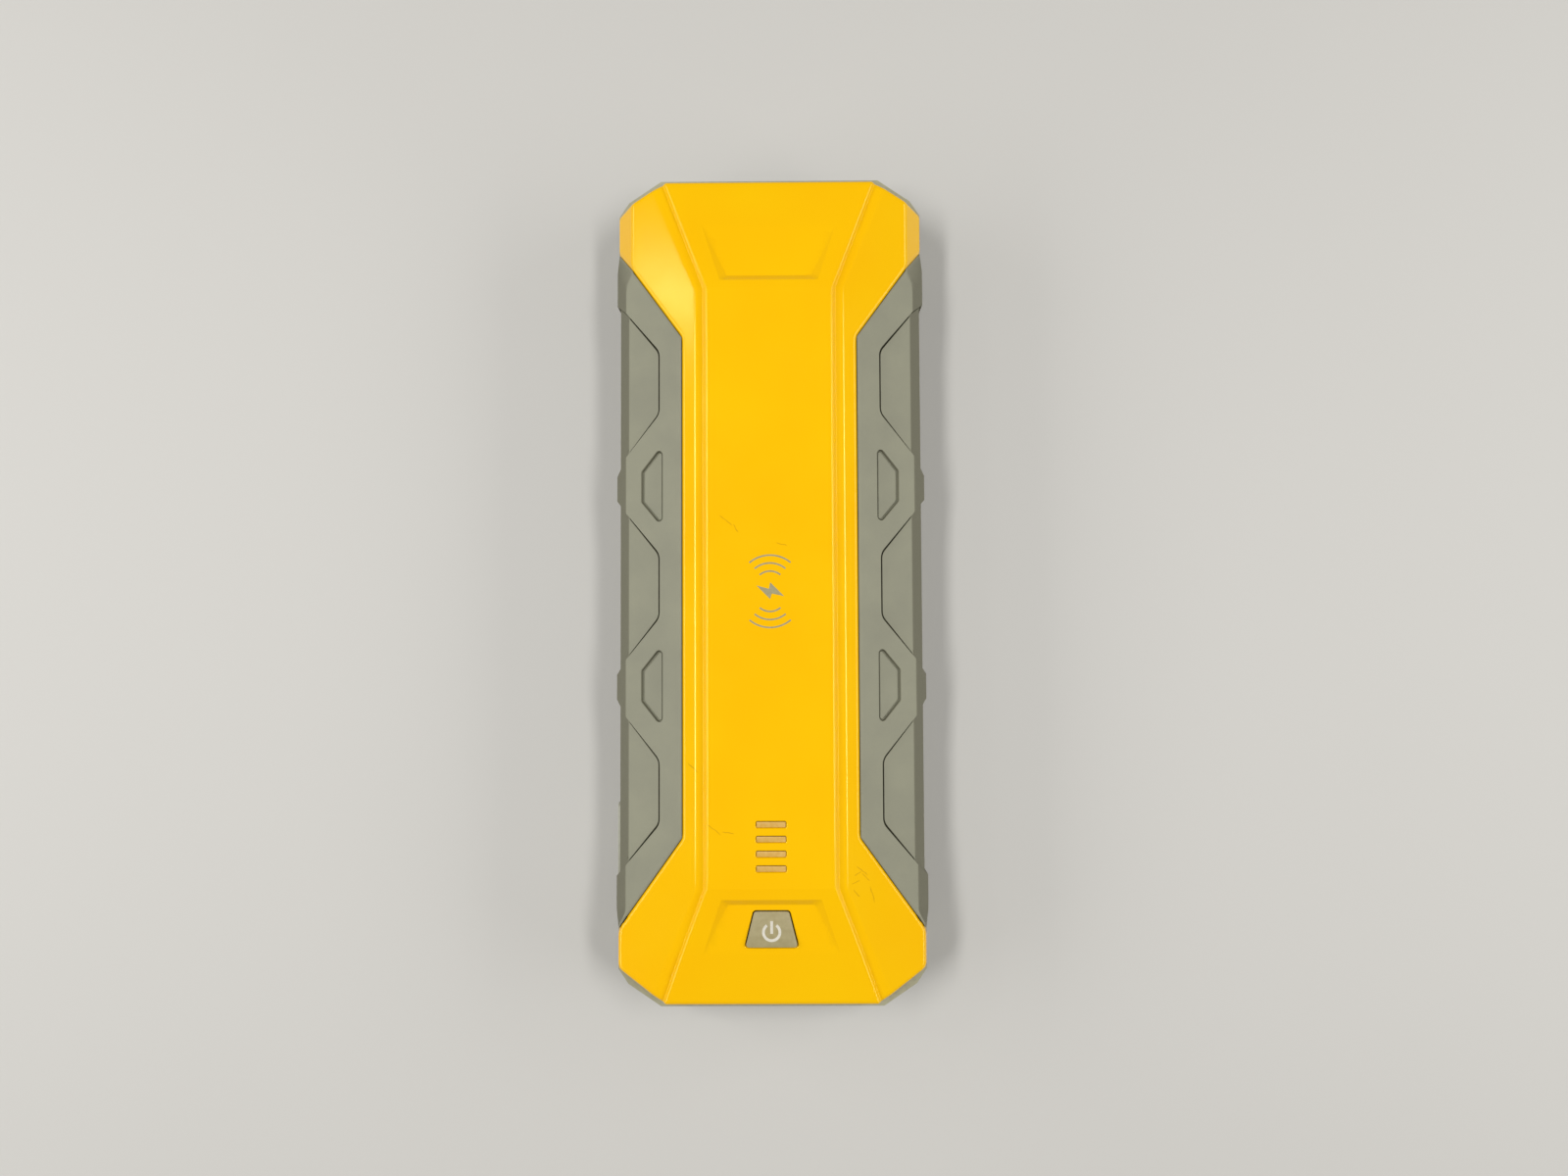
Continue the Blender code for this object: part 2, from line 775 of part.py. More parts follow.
def base_planes(side_depth, end_depth):
    """Walls and bevels of the base, sunk by a depth at the sides and at the ends."""
    planes = []
    stations = (
        ((HEAD_HALF, 0.0), (1.0, 0.0)),
        (
            (BASE_CORNER_X, BASE_CORNER_Y),
            (BASE_CORNER_Y - BASE_SIDE_Y, HEAD_HALF - BASE_CORNER_X),
        ),
        (
            (BASE_CORNER_X, BASE_CORNER_Y),
            (BASE_END_Y - BASE_CORNER_Y, BASE_CORNER_X - BASE_END_HALF),
        ),
        ((0.0, BASE_END_Y), (0.0, 1.0)),
    )
    bevel_z = BASE_BOTTOM_Z + BASE_BEVEL
    for (x, y), (nx, ny) in stations:
        flat = Vector((nx, ny)).normalized()
        depth = end_depth if ny > 0 else side_depth
        for side in (-1, 1):
            for end in (-1, 1):
                point = Vector((side * x, end * y, bevel_z))
                wall = Vector((side * flat.x, end * flat.y, 0))
                bevel = Vector((side * flat.x, end * flat.y, -1)).normalized()
                planes.append((point - wall * depth, wall))
                planes.append((point - bevel * depth, bevel))
    return planes


def socket_window(margin, low_x, high_x):
    half_y = SOCKET_LENGTH / 2 + margin
    half_z = SOCKET_HEIGHT / 2 + margin
    return box_mesh(
        (low_x, SOCKET_Y - half_y, SOCKET_Z - half_z), (high_x, SOCKET_Y + half_y, SOCKET_Z + half_z)
    )


def base_shell():
    outer = base_planes(0.0, 0.0) + flat_planes(BASE_BOTTOM_Z, PARTING_Z)
    base = add_object("base_shell", facet_mesh(outer), grey_abs())
    seat_low_z = GRIP_BOTTOM_Z - SEAT_GAP
    zone = box_mesh((-REACH, -HEAD_START_Y, seat_low_z), (REACH, HEAD_START_Y, REACH))
    seats = add_object("cutter_grip_seats", zone)
    cut(seats, facet_mesh(side_planes(GRIP_CREASE_X, HOLLOW_WALL_X, SEAT_DEPTH)), "between_seats")
    boolean(base, seats, "DIFFERENCE")
    inner = base_planes(BASE_WALL, BASE_END_WALL)
    inner += side_planes(GRIP_CREASE_X, HOLLOW_WALL_X, SEAT_DEPTH + BASE_WALL)
    cut(base, facet_mesh(inner + flat_planes(BASE_FLOOR_Z, REACH)), "base_room")
    foundation_z = BASE_FLOOR_Z - BASE_WALL / 2
    places = case_screw_places()
    hole_radius = SCREW_SHAFT_RADIUS + SEAT_GAP
    fuse(base, rods_mesh(POST_RADIUS, foundation_z, PARTING_Z + SEAT_GAP, places), "posts")
    cut(base, rods_mesh(SCREW_HEAD_RADIUS + SEAT_GAP, -REACH, SCREW_SEAT_Z, places), "counterbores")
    cut(base, rods_mesh(hole_radius, 0, REACH, places), "screw_holes")
    stud_top = BOARD_BOTTOM_Z - SEAT_GAP
    fuse(base, rods_mesh(BOARD_POST_RADIUS, foundation_z, stud_top, BOARD_SCREW_PLACES), "studs")
    pilots = rods_mesh(hole_radius, stud_top - BOARD_SCREW_LENGTH, REACH, BOARD_SCREW_PLACES)
    cut(base, pilots, "stud_holes")
    cut(base, socket_window(SEAT_GAP, -REACH, -WALL_IN_X + BASE_WALL / 2), "socket_window")
    wall_back_y = BASE_END_Y - 2 * BASE_END_WALL
    for name, (x, width, height) in usb_ports().items():
        low = (x - width / 2 - PORT_MARGIN, -REACH, usb_low_z(height) - PORT_MARGIN)
        high = (x + width / 2 + PORT_MARGIN, -wall_back_y, BOARD_BOTTOM_Z)
        cut(base, box_mesh(low, high), name)
    lens_hole = rod_mesh(TORCH_RADIUS + SEAT_GAP, wall_back_y, REACH, (0, 0, TORCH_Z), "Y")
    cut(base, lens_hole, "torch")
    cut(base, anchor_mesh(SEAT_GAP), "flap_anchor")
    pockets = rods_mesh(FOOT_RADIUS + SEAT_GAP, 0, BASE_BOTTOM_Z + FOOT_POCKET, foot_places())
    cut(base, pockets, "foot_pockets")
    label_top = BASE_BOTTOM_Z + LABEL_DEPTH
    label = box_mesh((-LABEL_HALF_X, -LABEL_HALF_Y, 0), (LABEL_HALF_X, LABEL_HALF_Y, label_top))
    cut(base, label, "label_field")
    return cut(base, box_mesh((-REACH, -REACH, BASE_TOP_Z), (REACH, REACH, REACH)), "above_parting")


def foot_places():
    return [(x, y) for y in (-FOOT_Y, FOOT_Y) for x in (-FOOT_X, FOOT_X)]


def rubber_feet():
    for index, (x, y) in enumerate(foot_places(), 1):
        top = BASE_BOTTOM_Z + FOOT_POCKET - SEAT_GAP
        add_object(f"rubber_foot_{index}", rod_mesh(FOOT_RADIUS, 0, top, (x, y, 0)), rubber(), smooth=True)


def screw(name, place, head_z, length):
    """Pan-head screw; a positive length runs up from its head, a negative one down."""
    toward = math.copysign(1, length)
    profile = [
        (SCREW_HEAD_RADIUS * SCREW_CROWN_SHARE, head_z - toward * SCREW_HEAD_HEIGHT),
        (SCREW_HEAD_RADIUS, head_z - toward * SCREW_HEAD_HEIGHT / 2),
        (SCREW_HEAD_RADIUS, head_z),
        (SCREW_SHAFT_RADIUS, head_z),
        (SCREW_SHAFT_RADIUS, head_z + length - toward * SCREW_SHAFT_RADIUS),
        (SCREW_SHAFT_RADIUS * SCREW_POINT_SHARE, head_z + length),
    ]
    return add_object(name, turned_mesh(profile, (*place, 0)), steel(), smooth=True)


def case_screws():
    for index, place in enumerate(case_screw_places(), 1):
        screw(f"case_screw_{index}", place, SCREW_SEAT_Z - SEAT_GAP, CASE_SCREW_LENGTH)


# ---------------------------------------------------------------- side grips


def hollow_outline(low_y, high_y):
    """Plan outline of one sunk panel of the right grip, open to the outside."""
    out_x = GRIP_WALL_X + HOLLOW_WALL_X - HOLLOW_CREASE_X
    run = (out_x - HOLLOW_INNER_X) * HOLLOW_FALL
    inner = rounded(
        [
            (out_x, high_y + run),
            (HOLLOW_INNER_X, high_y),
            (HOLLOW_INNER_X, low_y),
            (out_x, low_y - run),
        ],
        HOLLOW_RADIUS,
    )
    corner = ARC_STEPS + 1
    return [(out_x, high_y + run)] + inner[corner : 3 * corner] + [(out_x, low_y - run)]


def window_outline(middle_y):
    """Plan outline of one small closed window of the right grip."""
    corners = [
        (WINDOW_INNER_X, middle_y + WINDOW_INNER_HALF),
        (WINDOW_INNER_X, middle_y - WINDOW_INNER_HALF),
        (WINDOW_OUTER_X, middle_y - WINDOW_OUTER_HALF),
        (WINDOW_OUTER_X, middle_y + WINDOW_OUTER_HALF),
    ]
    return rounded(corners, WINDOW_RADIUS)


def flipped(outline, side):
    return outline if side > 0 else [(-x, y) for x, y in reversed(outline)]


def side_grip(name, side):
    end_y = HEAD_START_Y - SEAT_GAP
    skin = side_planes(GRIP_CREASE_X, GRIP_WALL_X, 0.0) + flat_planes(GRIP_BOTTOM_Z, PANEL_Z)
    skin += [((0, end_y, 0), (0, 1, 0)), ((0, -end_y, 0), (0, -1, 0)), ((0, 0, 0), (-side, 0, 0))]
    grip = add_object(name, facet_mesh(skin), soft_grip())
    cut(grip, prism_mesh(cover_outline(-SEAT_GAP), -REACH, REACH), f"{name}_face")
    under = side_planes(GRIP_CREASE_X, HOLLOW_WALL_X, GRIP_THICKNESS)
    cut(grip, facet_mesh(under), f"{name}_inside")
    bed = side_planes(HOLLOW_CREASE_X, HOLLOW_WALL_X, 0.0)
    bed[0] = (Vector(bed[0][0]) - Vector(bed[0][1]) * HOLLOW_DEPTH, bed[0][1])
    bed[3] = (Vector(bed[3][0]) - Vector(bed[3][1]) * HOLLOW_DEPTH, bed[3][1])
    for index, (low_y, high_y) in enumerate(
        (
            (-HOLLOW_MIDDLE_HALF, HOLLOW_MIDDLE_HALF),
            (HOLLOW_FAR_LOW_Y, HOLLOW_FAR_HIGH_Y),
            (-HOLLOW_FAR_HIGH_Y, -HOLLOW_FAR_LOW_Y),
        )
    ):
        outline = flipped(hollow_outline(low_y, high_y), side)
        sunk = add_object(f"cutter_{name}_hollow_{index}", prism_mesh(outline, -REACH, REACH))
        cut(sunk, facet_mesh(bed), f"{name}_bed_{index}")
        boolean(grip, sunk, "DIFFERENCE")
    for index, middle_y in enumerate((-WINDOW_Y, WINDOW_Y)):
        outline = flipped(window_outline(middle_y), side)
        pane = add_object(f"cutter_{name}_window_{index}", prism_mesh(outline, 0, REACH))
        floor = side_planes(GRIP_CREASE_X, GRIP_WALL_X, WINDOW_DEPTH)
        cut(pane, facet_mesh(floor), f"{name}_pane_{index}")
        boolean(grip, pane, "DIFFERENCE")
    if side < 0:
        cut(grip, flap_bay_mesh(), "flap_bay")
    return grip


# ---------------------------------------------------------------- jump-lead socket and flap


def hinge_place():
    """Point on the flap's hinge line, at its outer face."""
    return (-HOLLOW_WALL_X - FLAP_PROUD, SOCKET_Y + FLAP_LENGTH / 2 + SEAT_GAP, SOCKET_Z)


def side_plate_mesh(low_y, high_y, height, low_x, high_x, radius):
    """Round-cornered plate lying against the left wall."""
    outline = rounded(
        [
            (low_y, SOCKET_Z - height / 2),
            (high_y, SOCKET_Z - height / 2),
            (high_y, SOCKET_Z + height / 2),
            (low_y, SOCKET_Z + height / 2),
        ],
        radius,
    )
    bm = prism_mesh(outline, low_x, high_x)
    for vert in bm.verts:
        vert.co = (vert.co.z, vert.co.x, vert.co.y)
    return bm


def flap_bay_mesh():
    """Opening in the left grip for the flap and its anchor."""
    low_y = SOCKET_Y - FLAP_LENGTH / 2 - SEAT_GAP
    high_y = SOCKET_Y + FLAP_LENGTH / 2 + ANCHOR_LENGTH + 3 * SEAT_GAP
    height = FLAP_HEIGHT + 2 * SEAT_GAP
    return side_plate_mesh(low_y, high_y, height, -REACH, -WALL_IN_X, FLAP_RADIUS)


def port_cover():
    inner_x = -SEAT_WALL_X - SEAT_GAP
    outer_x = -HOLLOW_WALL_X - FLAP_PROUD
    low_y = SOCKET_Y - FLAP_LENGTH / 2
    high_y = SOCKET_Y + FLAP_LENGTH / 2
    flap = add_object(
        "port_cover",
        side_plate_mesh(low_y, high_y, FLAP_HEIGHT, outer_x, inner_x, FLAP_RADIUS),
        flap_rubber(),
    )
    plug_half = SOCKET_MOUTH_LENGTH / 2 - FLAP_PLUG_INSET
    plug = side_plate_mesh(
        SOCKET_Y - plug_half,
        SOCKET_Y + plug_half,
        SOCKET_MOUTH_HEIGHT - 2 * FLAP_PLUG_INSET,
        outer_x + FLAP_PROUD,
        inner_x + FLAP_PLUG_DEPTH,
        FLAP_RADIUS,
    )
    fuse(flap, plug, "flap_plug")
    for shape in [flap] + [step.object for step in flap.modifiers]:
        put_origin(shape, hinge_place())
    return flap


def anchor_mesh(margin):
    """Tab beside the flap, with a stud that presses into the base wall."""
    low_y = SOCKET_Y + FLAP_LENGTH / 2 + 2 * SEAT_GAP - margin
    high_y = low_y + ANCHOR_LENGTH + 2 * margin
    half = ANCHOR_NECK_HEIGHT / 2 + margin
    stud_half = ANCHOR_BUTTON / 2 + margin
    middle = (low_y + high_y) / 2
    outer_x = -HOLLOW_WALL_X
    inner_x = -SEAT_WALL_X - SEAT_GAP
    stud_x = -WALL_IN_X + margin
    outline = [
        (outer_x, low_y),
        (outer_x, high_y),
        (inner_x + margin, high_y),
        (inner_x + margin, middle + stud_half),
        (stud_x, middle + stud_half),
        (stud_x, middle - stud_half),
        (inner_x + margin, middle - stud_half),
        (inner_x + margin, low_y),
    ]
    return prism_mesh(outline, SOCKET_Z - half, SOCKET_Z + half)


def flap_anchor():
    return add_object("port_cover_anchor", anchor_mesh(0.0), flap_rubber())


def jump_socket():
    front_x = -SEAT_WALL_X + SEAT_GAP
    back_x = front_x + SOCKET_DEPTH
    half_y = SOCKET_LENGTH / 2
    half_z = SOCKET_HEIGHT / 2
    low = (front_x, SOCKET_Y - half_y, SOCKET_Z - half_z)
    high = (back_x, SOCKET_Y + half_y, SOCKET_Z + half_z)
    housing = add_object("jump_socket_housing", box_mesh(low, high), blue_plastic())
    mouth_y = SOCKET_MOUTH_LENGTH / 2
    mouth_z = SOCKET_MOUTH_HEIGHT / 2
    mouth_low = (-REACH, SOCKET_Y - mouth_y, SOCKET_Z - mouth_z)
    mouth_high = (front_x + SOCKET_MOUTH_DEPTH, SOCKET_Y + mouth_y, SOCKET_Z + mouth_z)
    cut(housing, box_mesh(mouth_low, mouth_high), "socket_mouth")
    names = ("positive", "negative")
    for name, offset in zip(names, (-CONTACT_PITCH / 2, CONTACT_PITCH / 2)):
        place = (0, SOCKET_Y + offset, SOCKET_Z)
        bore = rod_mesh(CONTACT_RADIUS + SEAT_GAP, -REACH, REACH, place, "X")
        cut(housing, bore, f"contact_bore_{name}")
        start = front_x + SOCKET_MOUTH_DEPTH
        profile = [
            (CONTACT_RADIUS, start),
            (CONTACT_RADIUS, start + CONTACT_LENGTH),
            (CONTACT_VENT, start + CONTACT_LENGTH),
            (CONTACT_VENT, start + CONTACT_BORE_DEPTH),
            (CONTACT_BORE, start + CONTACT_BORE_DEPTH),
            (CONTACT_BORE, start),
        ]
        tube = turned_mesh(profile, place, "X", closed=True)
        add_object(f"jump_socket_contact_{name}", tube, brass(), smooth=True)
    return housing


# ---------------------------------------------------------------- USB ports


def usb_ports():
    return {
        "usb_a_window": (USB_A_X, USB_A_WIDTH, USB_A_HEIGHT),
        "usb_c_window": (USB_C_X, USB_C_WIDTH, USB_C_HEIGHT),
    }


def usb_low_z(height):
    return BOARD_BOTTOM_Z - SEAT_GAP - height


def usb_port(name, x, width, height, depth, tongue_thickness):
    """Metal shell with a plastic tongue, hung under the board with its mouth in the end wall."""
    mouth_y = -BASE_END_Y + PORT_MARGIN
    low_z = usb_low_z(height)
    low = (x - width / 2, mouth_y, low_z)
    high = (x + width / 2, mouth_y + depth, low_z + height)
    shell = add_object(f"{name}_shell", box_mesh(low, high), steel())
    inner_low = (low[0] + USB_WALL, -REACH, low[2] + USB_WALL)
    inner_high = (high[0] - USB_WALL, high[1] - USB_WALL * 2, high[2] - USB_WALL)
    cut(shell, box_mesh(inner_low, inner_high), f"{name}_room")
    tongue_z = low_z + height / 2
    tongue_half = width / 2 - USB_WALL * 2
    root_y = inner_high[1] - SEAT_GAP
    tongue = block(
        f"{name}_tongue",
        black_plastic(),
        (x, (mouth_y + 2 * USB_WALL + root_y) / 2, tongue_z),
        (2 * tongue_half, root_y - mouth_y - 2 * USB_WALL, tongue_thickness),
    )
    root_depth = depth * USB_ROOT_SHARE
    room = height - 2 * USB_WALL - 2 * SEAT_GAP
    root_low = (x - tongue_half, root_y - root_depth, tongue_z - room / 2)
    fuse(tongue, box_mesh(root_low, (x + tongue_half, root_y, tongue_z + room / 2)), f"{name}_root")
    return shell


# ---------------------------------------------------------------- button, switch, light guide


def field_floor_z(y):
    """Height of the sunk field's floor at Y = y."""
    start_y = FIELD_START_Y + FIELD_BANK
    start_z = end_z(FIELD_START_Y) - FIELD_DEPTH
    share = (abs(y) - start_y) / (FIELD_FADE_Y - start_y)
    return start_z + (end_z(FIELD_FADE_Y) - start_z) * share


def power_button():
    """Trapezoid cap with a flange that holds it under the cover, and a stem to the switch."""
    top_z = field_floor_z(BUTTON_TOP_Y) + BUTTON_PROUD
    flange_top = end_z(BUTTON_BOTTOM_Y - BUTTON_FLANGE) - COVER_WALL - 2 * SEAT_GAP
    flange_low = flange_top - BUTTON_FLANGE_HEIGHT
    cap_low = (flange_top + flange_low) / 2
    button = add_object("power_button", prism_mesh(button_outline(0.0), cap_low, top_z), button_plastic())
    fuse(button, prism_mesh(button_outline(BUTTON_FLANGE), flange_low, flange_top), "button_flange")
    stem_low = BOARD_TOP_Z + 2 * SEAT_GAP + SWITCH_HEIGHT + PLUNGER_RISE
    stem = rod_mesh(BUTTON_STEM_RADIUS, stem_low, cap_low, (0, BUTTON_AXIS_Y, 0))
    fuse(button, stem, "button_stem")
    for shape in [button] + [step.object for step in button.modifiers]:
        put_origin(shape, (0, BUTTON_AXIS_Y, top_z))
    return button


def push_switch():
    low_z = BOARD_TOP_Z + SEAT_GAP
    body = block(
        "switch_body",
        black_plastic(),
        (0, BUTTON_AXIS_Y, low_z + SWITCH_HEIGHT / 2),
        (SWITCH_SIDE, SWITCH_SIDE, SWITCH_HEIGHT),
    )
    top_z = low_z + SWITCH_HEIGHT
    seat_z = top_z - PLUNGER_DEPTH - BUTTON_TRAVEL - SEAT_GAP
    well = rod_mesh(PLUNGER_RADIUS + SLIDE_GAP, seat_z, REACH, (0, BUTTON_AXIS_Y, 0))
    cut(body, well, "plunger_well")
    plunger = rod_mesh(PLUNGER_RADIUS, top_z - PLUNGER_DEPTH, top_z + PLUNGER_RISE, (0, BUTTON_AXIS_Y, 0))
    put_origin(
        add_object("switch_plunger", plunger, white_plastic(), smooth=True), (0, BUTTON_AXIS_Y, top_z)
    )


def light_guide():
    """Four light bars on one carrier, hung in the slots."""
    carrier_top = CEILING_Z - SEAT_GAP
    last_y = slot_middles()[-1]
    carrier_low = (-SLOT_HALF - GUIDE_RIM, last_y - SLOT_HEIGHT / 2 - GUIDE_RIM, carrier_top - GUIDE_PLATE)
    carrier_high = (SLOT_HALF + GUIDE_RIM, SLOT_FIRST_Y + SLOT_HEIGHT / 2 + GUIDE_RIM, carrier_top)
    guide = add_object("light_guide", box_mesh(carrier_low, carrier_high), clear_guide())
    for index, y in enumerate(slot_middles()):
        half_x = SLOT_HALF - SEAT_GAP / 2
        half_y = SLOT_HEIGHT / 2 - SEAT_GAP / 2
        bar_low = (-half_x, y - half_y, BOARD_TOP_Z + LED_HEIGHT + 2 * SEAT_GAP)
        fuse(guide, box_mesh(bar_low, (half_x, y + half_y, PANEL_Z - GUIDE_RECESS)), f"bar_{index}")
        led_z = BOARD_TOP_Z + SEAT_GAP + LED_HEIGHT / 2
        led_size = (LED_LENGTH, LED_WIDTH, LED_HEIGHT)
        block(f"status_led_{index + 1}", white_plastic(), (0, y, led_z), led_size)
    return guide


# ---------------------------------------------------------------- main board and its parts


def main_board():
    low = (-BOARD_HALF, BOARD_LOW_Y, BOARD_BOTTOM_Z)
    board = add_object("main_board", box_mesh(low, (BOARD_HALF, BOARD_HIGH_Y, BOARD_TOP_Z)), laminate())
    for index, (x, y) in enumerate(BOARD_SCREW_PLACES, 1):
        hole = rod_mesh(SCREW_SHAFT_RADIUS + SEAT_GAP, 0, REACH, (x, y, 0))
        cut(board, hole, f"board_hole_{index}")
        screw(f"board_screw_{index}", (x, y), BOARD_TOP_Z + SEAT_GAP, -BOARD_SCREW_LENGTH)
    top = BOARD_TOP_Z + SEAT_GAP
    for index, place in enumerate(CAPACITOR_PLACES, 1):
        can = rod_mesh(CAPACITOR_RADIUS, top, top + CAPACITOR_HEIGHT, (*place, 0))
        add_object(f"capacitor_{index}", can, black_sleeve(), smooth=True)
    choke_middle = (*INDUCTOR_PLACE, top + INDUCTOR_HEIGHT / 2)
    block("inductor", ferrite(), choke_middle, (INDUCTOR_SIDE, INDUCTOR_SIDE, INDUCTOR_HEIGHT))
    spreader_middle = (*SPREADER_PLACE, top + SPREADER_HEIGHT / 2)
    block("heat_spreader", nickel(), spreader_middle, (SPREADER_WIDTH, SPREADER_LENGTH, SPREADER_HEIGHT))
    return board


# ---------------------------------------------------------------- battery


def cell(index, side, layer):
    """Pouch cell with two flat tabs at the board end."""
    low_z = CELL_LOW_Z + layer * CELL_PITCH_Z
    middle = (side * CELL_X, CELL_MIDDLE_Y, low_z + CELL_THICKNESS / 2)
    size = (CELL_WIDTH, CELL_LENGTH, CELL_THICKNESS)
    made = block(f"battery_cell_{index}", pouch(), middle, size)
    for offset in (-CELL_WIDTH / 4, CELL_WIDTH / 4):
        x = side * CELL_X + offset
        half = (CELL_TAB_WIDTH / 2, CELL_TAB_THICKNESS / 2)
        tab = box_mesh(
            (x - half[0], CELL_END_Y - CELL_TAB_LENGTH, middle[2] - half[1]),
            (x + half[0], CELL_END_Y + CELL_TAB_LENGTH, middle[2] + half[1]),
        )
        fuse(made, tab, f"tab_{index}_{offset > 0}")
    return made


def cell_links():
    """Strips that join the cells in series: across each layer's middle, and up one side."""
    tab_z = CELL_LOW_Z + CELL_THICKNESS / 2
    lift = CELL_TAB_THICKNESS / 2 + SEAT_GAP + LINK_THICKNESS / 2
    y = CELL_END_Y - CELL_TAB_LENGTH / 2
    inner_x = CELL_X - CELL_WIDTH / 4
    for layer in (0, 1):
        middle = (0, y, tab_z + layer * CELL_PITCH_Z + lift)
        size = (2 * inner_x + CELL_TAB_WIDTH, LINK_WIDTH, LINK_THICKNESS)
        block(f"cell_link_{layer + 1}", nickel(), middle, size)
    outer_x = CELL_X + CELL_WIDTH / 4
    edge_y = CELL_END_Y - CELL_TAB_LENGTH - SEAT_GAP - LINK_THICKNESS / 2
    middle = (outer_x, edge_y, tab_z + CELL_PITCH_Z / 2)
    size = (CELL_TAB_WIDTH, LINK_THICKNESS, CELL_PITCH_Z + 2 * CELL_TAB_THICKNESS)
    block("cell_link_3", nickel(), middle, size)


def battery_tray():
    half_x = CELL_WIDTH + SEAT_GAP / 2 + SEAT_GAP
    half_y = CELL_LENGTH / 2 + SEAT_GAP
    floor_z = BASE_FLOOR_Z + SEAT_GAP
    low = (-half_x - TRAY_WALL, CELL_MIDDLE_Y - half_y - TRAY_WALL, floor_z)
    high = (half_x + TRAY_WALL, CELL_MIDDLE_Y + half_y + TRAY_WALL, floor_z + TRAY_HEIGHT)
    tray = add_object("battery_tray", box_mesh(low, high), black_plastic())
    room_low = (-half_x, CELL_MIDDLE_Y - half_y, floor_z + TRAY_WALL)
    cut(tray, box_mesh(room_low, (half_x, CELL_MIDDLE_Y + half_y, REACH)), "tray_room")
    notch_low = (-half_x + TRAY_WALL, -REACH, floor_z + TRAY_WALL)
    return cut(tray, box_mesh(notch_low, (half_x - TRAY_WALL, CELL_END_Y, REACH)), "tray_notch")


def battery():
    places = [(side, layer) for layer in (0, 1) for side in (-1, 1)]
    for index, (side, layer) in enumerate(places, 1):
        cell(index, side, layer)
    cell_links()
    battery_tray()
    foam_middle = (0, CELL_MIDDLE_Y, CELL_TOP_Z + SEAT_GAP + FOAM_THICKNESS / 2)
    block("foam_pad", foam(), foam_middle, (FOAM_WIDTH, FOAM_LENGTH, FOAM_THICKNESS))


# ---------------------------------------------------------------- charging coil


def coil_top_z():
    """The coil's rim rests under the shoulders, which fall away inside too."""
    return shoulder_z(COIL_OUTER) - COVER_WALL * math.hypot(1, SHOULDER_SLOPE) - SEAT_GAP


def charging_coil():
    coil_low = coil_top_z() - COIL_THICKNESS
    coil_top = coil_top_z()
    ring = [(COIL_OUTER, coil_low), (COIL_OUTER, coil_top), (COIL_INNER, coil_top), (COIL_INNER, coil_low)]
    coil = turned_mesh(ring, (0, COIL_Y, 0), closed=True)
    add_object("charging_coil", coil, enamelled_copper(), smooth=True)
    sheet_z = coil_low - SEAT_GAP - FERRITE_THICKNESS / 2
    side = 2 * FERRITE_HALF
    block("ferrite_sheet", ferrite(), (0, COIL_Y, sheet_z), (side, side, FERRITE_THICKNESS))
    board_z = sheet_z - FERRITE_THICKNESS / 2 - SEAT_GAP - COIL_BOARD_THICKNESS / 2
    size = (2 * COIL_BOARD_HALF_X, 2 * COIL_BOARD_HALF_Y, COIL_BOARD_THICKNESS)
    return block("coil_board", laminate(), (0, COIL_Y, board_z), size)


# ---------------------------------------------------------------- torch


def torch():
    face_y = BASE_END_Y - SEAT_GAP
    place = (0, 0, TORCH_Z)
    lens_back = face_y - LENS_THICKNESS
    lens = rod_mesh(TORCH_RADIUS, lens_back, face_y, place, "Y")
    add_object("torch_lens", lens, clear_lens(), smooth=True)
    rim_y = lens_back - SEAT_GAP
    back_y = rim_y - REFLECTOR_DEPTH
    cup = [
        (TORCH_RADIUS, rim_y),
        (REFLECTOR_BACK_RADIUS + REFLECTOR_WALL, back_y),
        (REFLECTOR_BACK_RADIUS, back_y),
        (TORCH_RADIUS - REFLECTOR_WALL, rim_y),
    ]
    bowl = turned_mesh(cup, place, "Y", closed=True)
    add_object("torch_reflector", bowl, mirror_plastic(), smooth=True)
    board_y = back_y - SEAT_GAP
    block(
        "torch_board",
        laminate(),
        (0, board_y - TORCH_BOARD_THICKNESS / 2, TORCH_Z),
        (2 * TORCH_BOARD_HALF, TORCH_BOARD_THICKNESS, 2 * TORCH_BOARD_HALF),
    )
    led_size = (TORCH_LED_SIDE, TORCH_LED_HEIGHT, TORCH_LED_SIDE)
    block("torch_led", white_plastic(), (0, board_y + SEAT_GAP + TORCH_LED_HEIGHT / 2, TORCH_Z), led_size)


# ---------------------------------------------------------------- leads


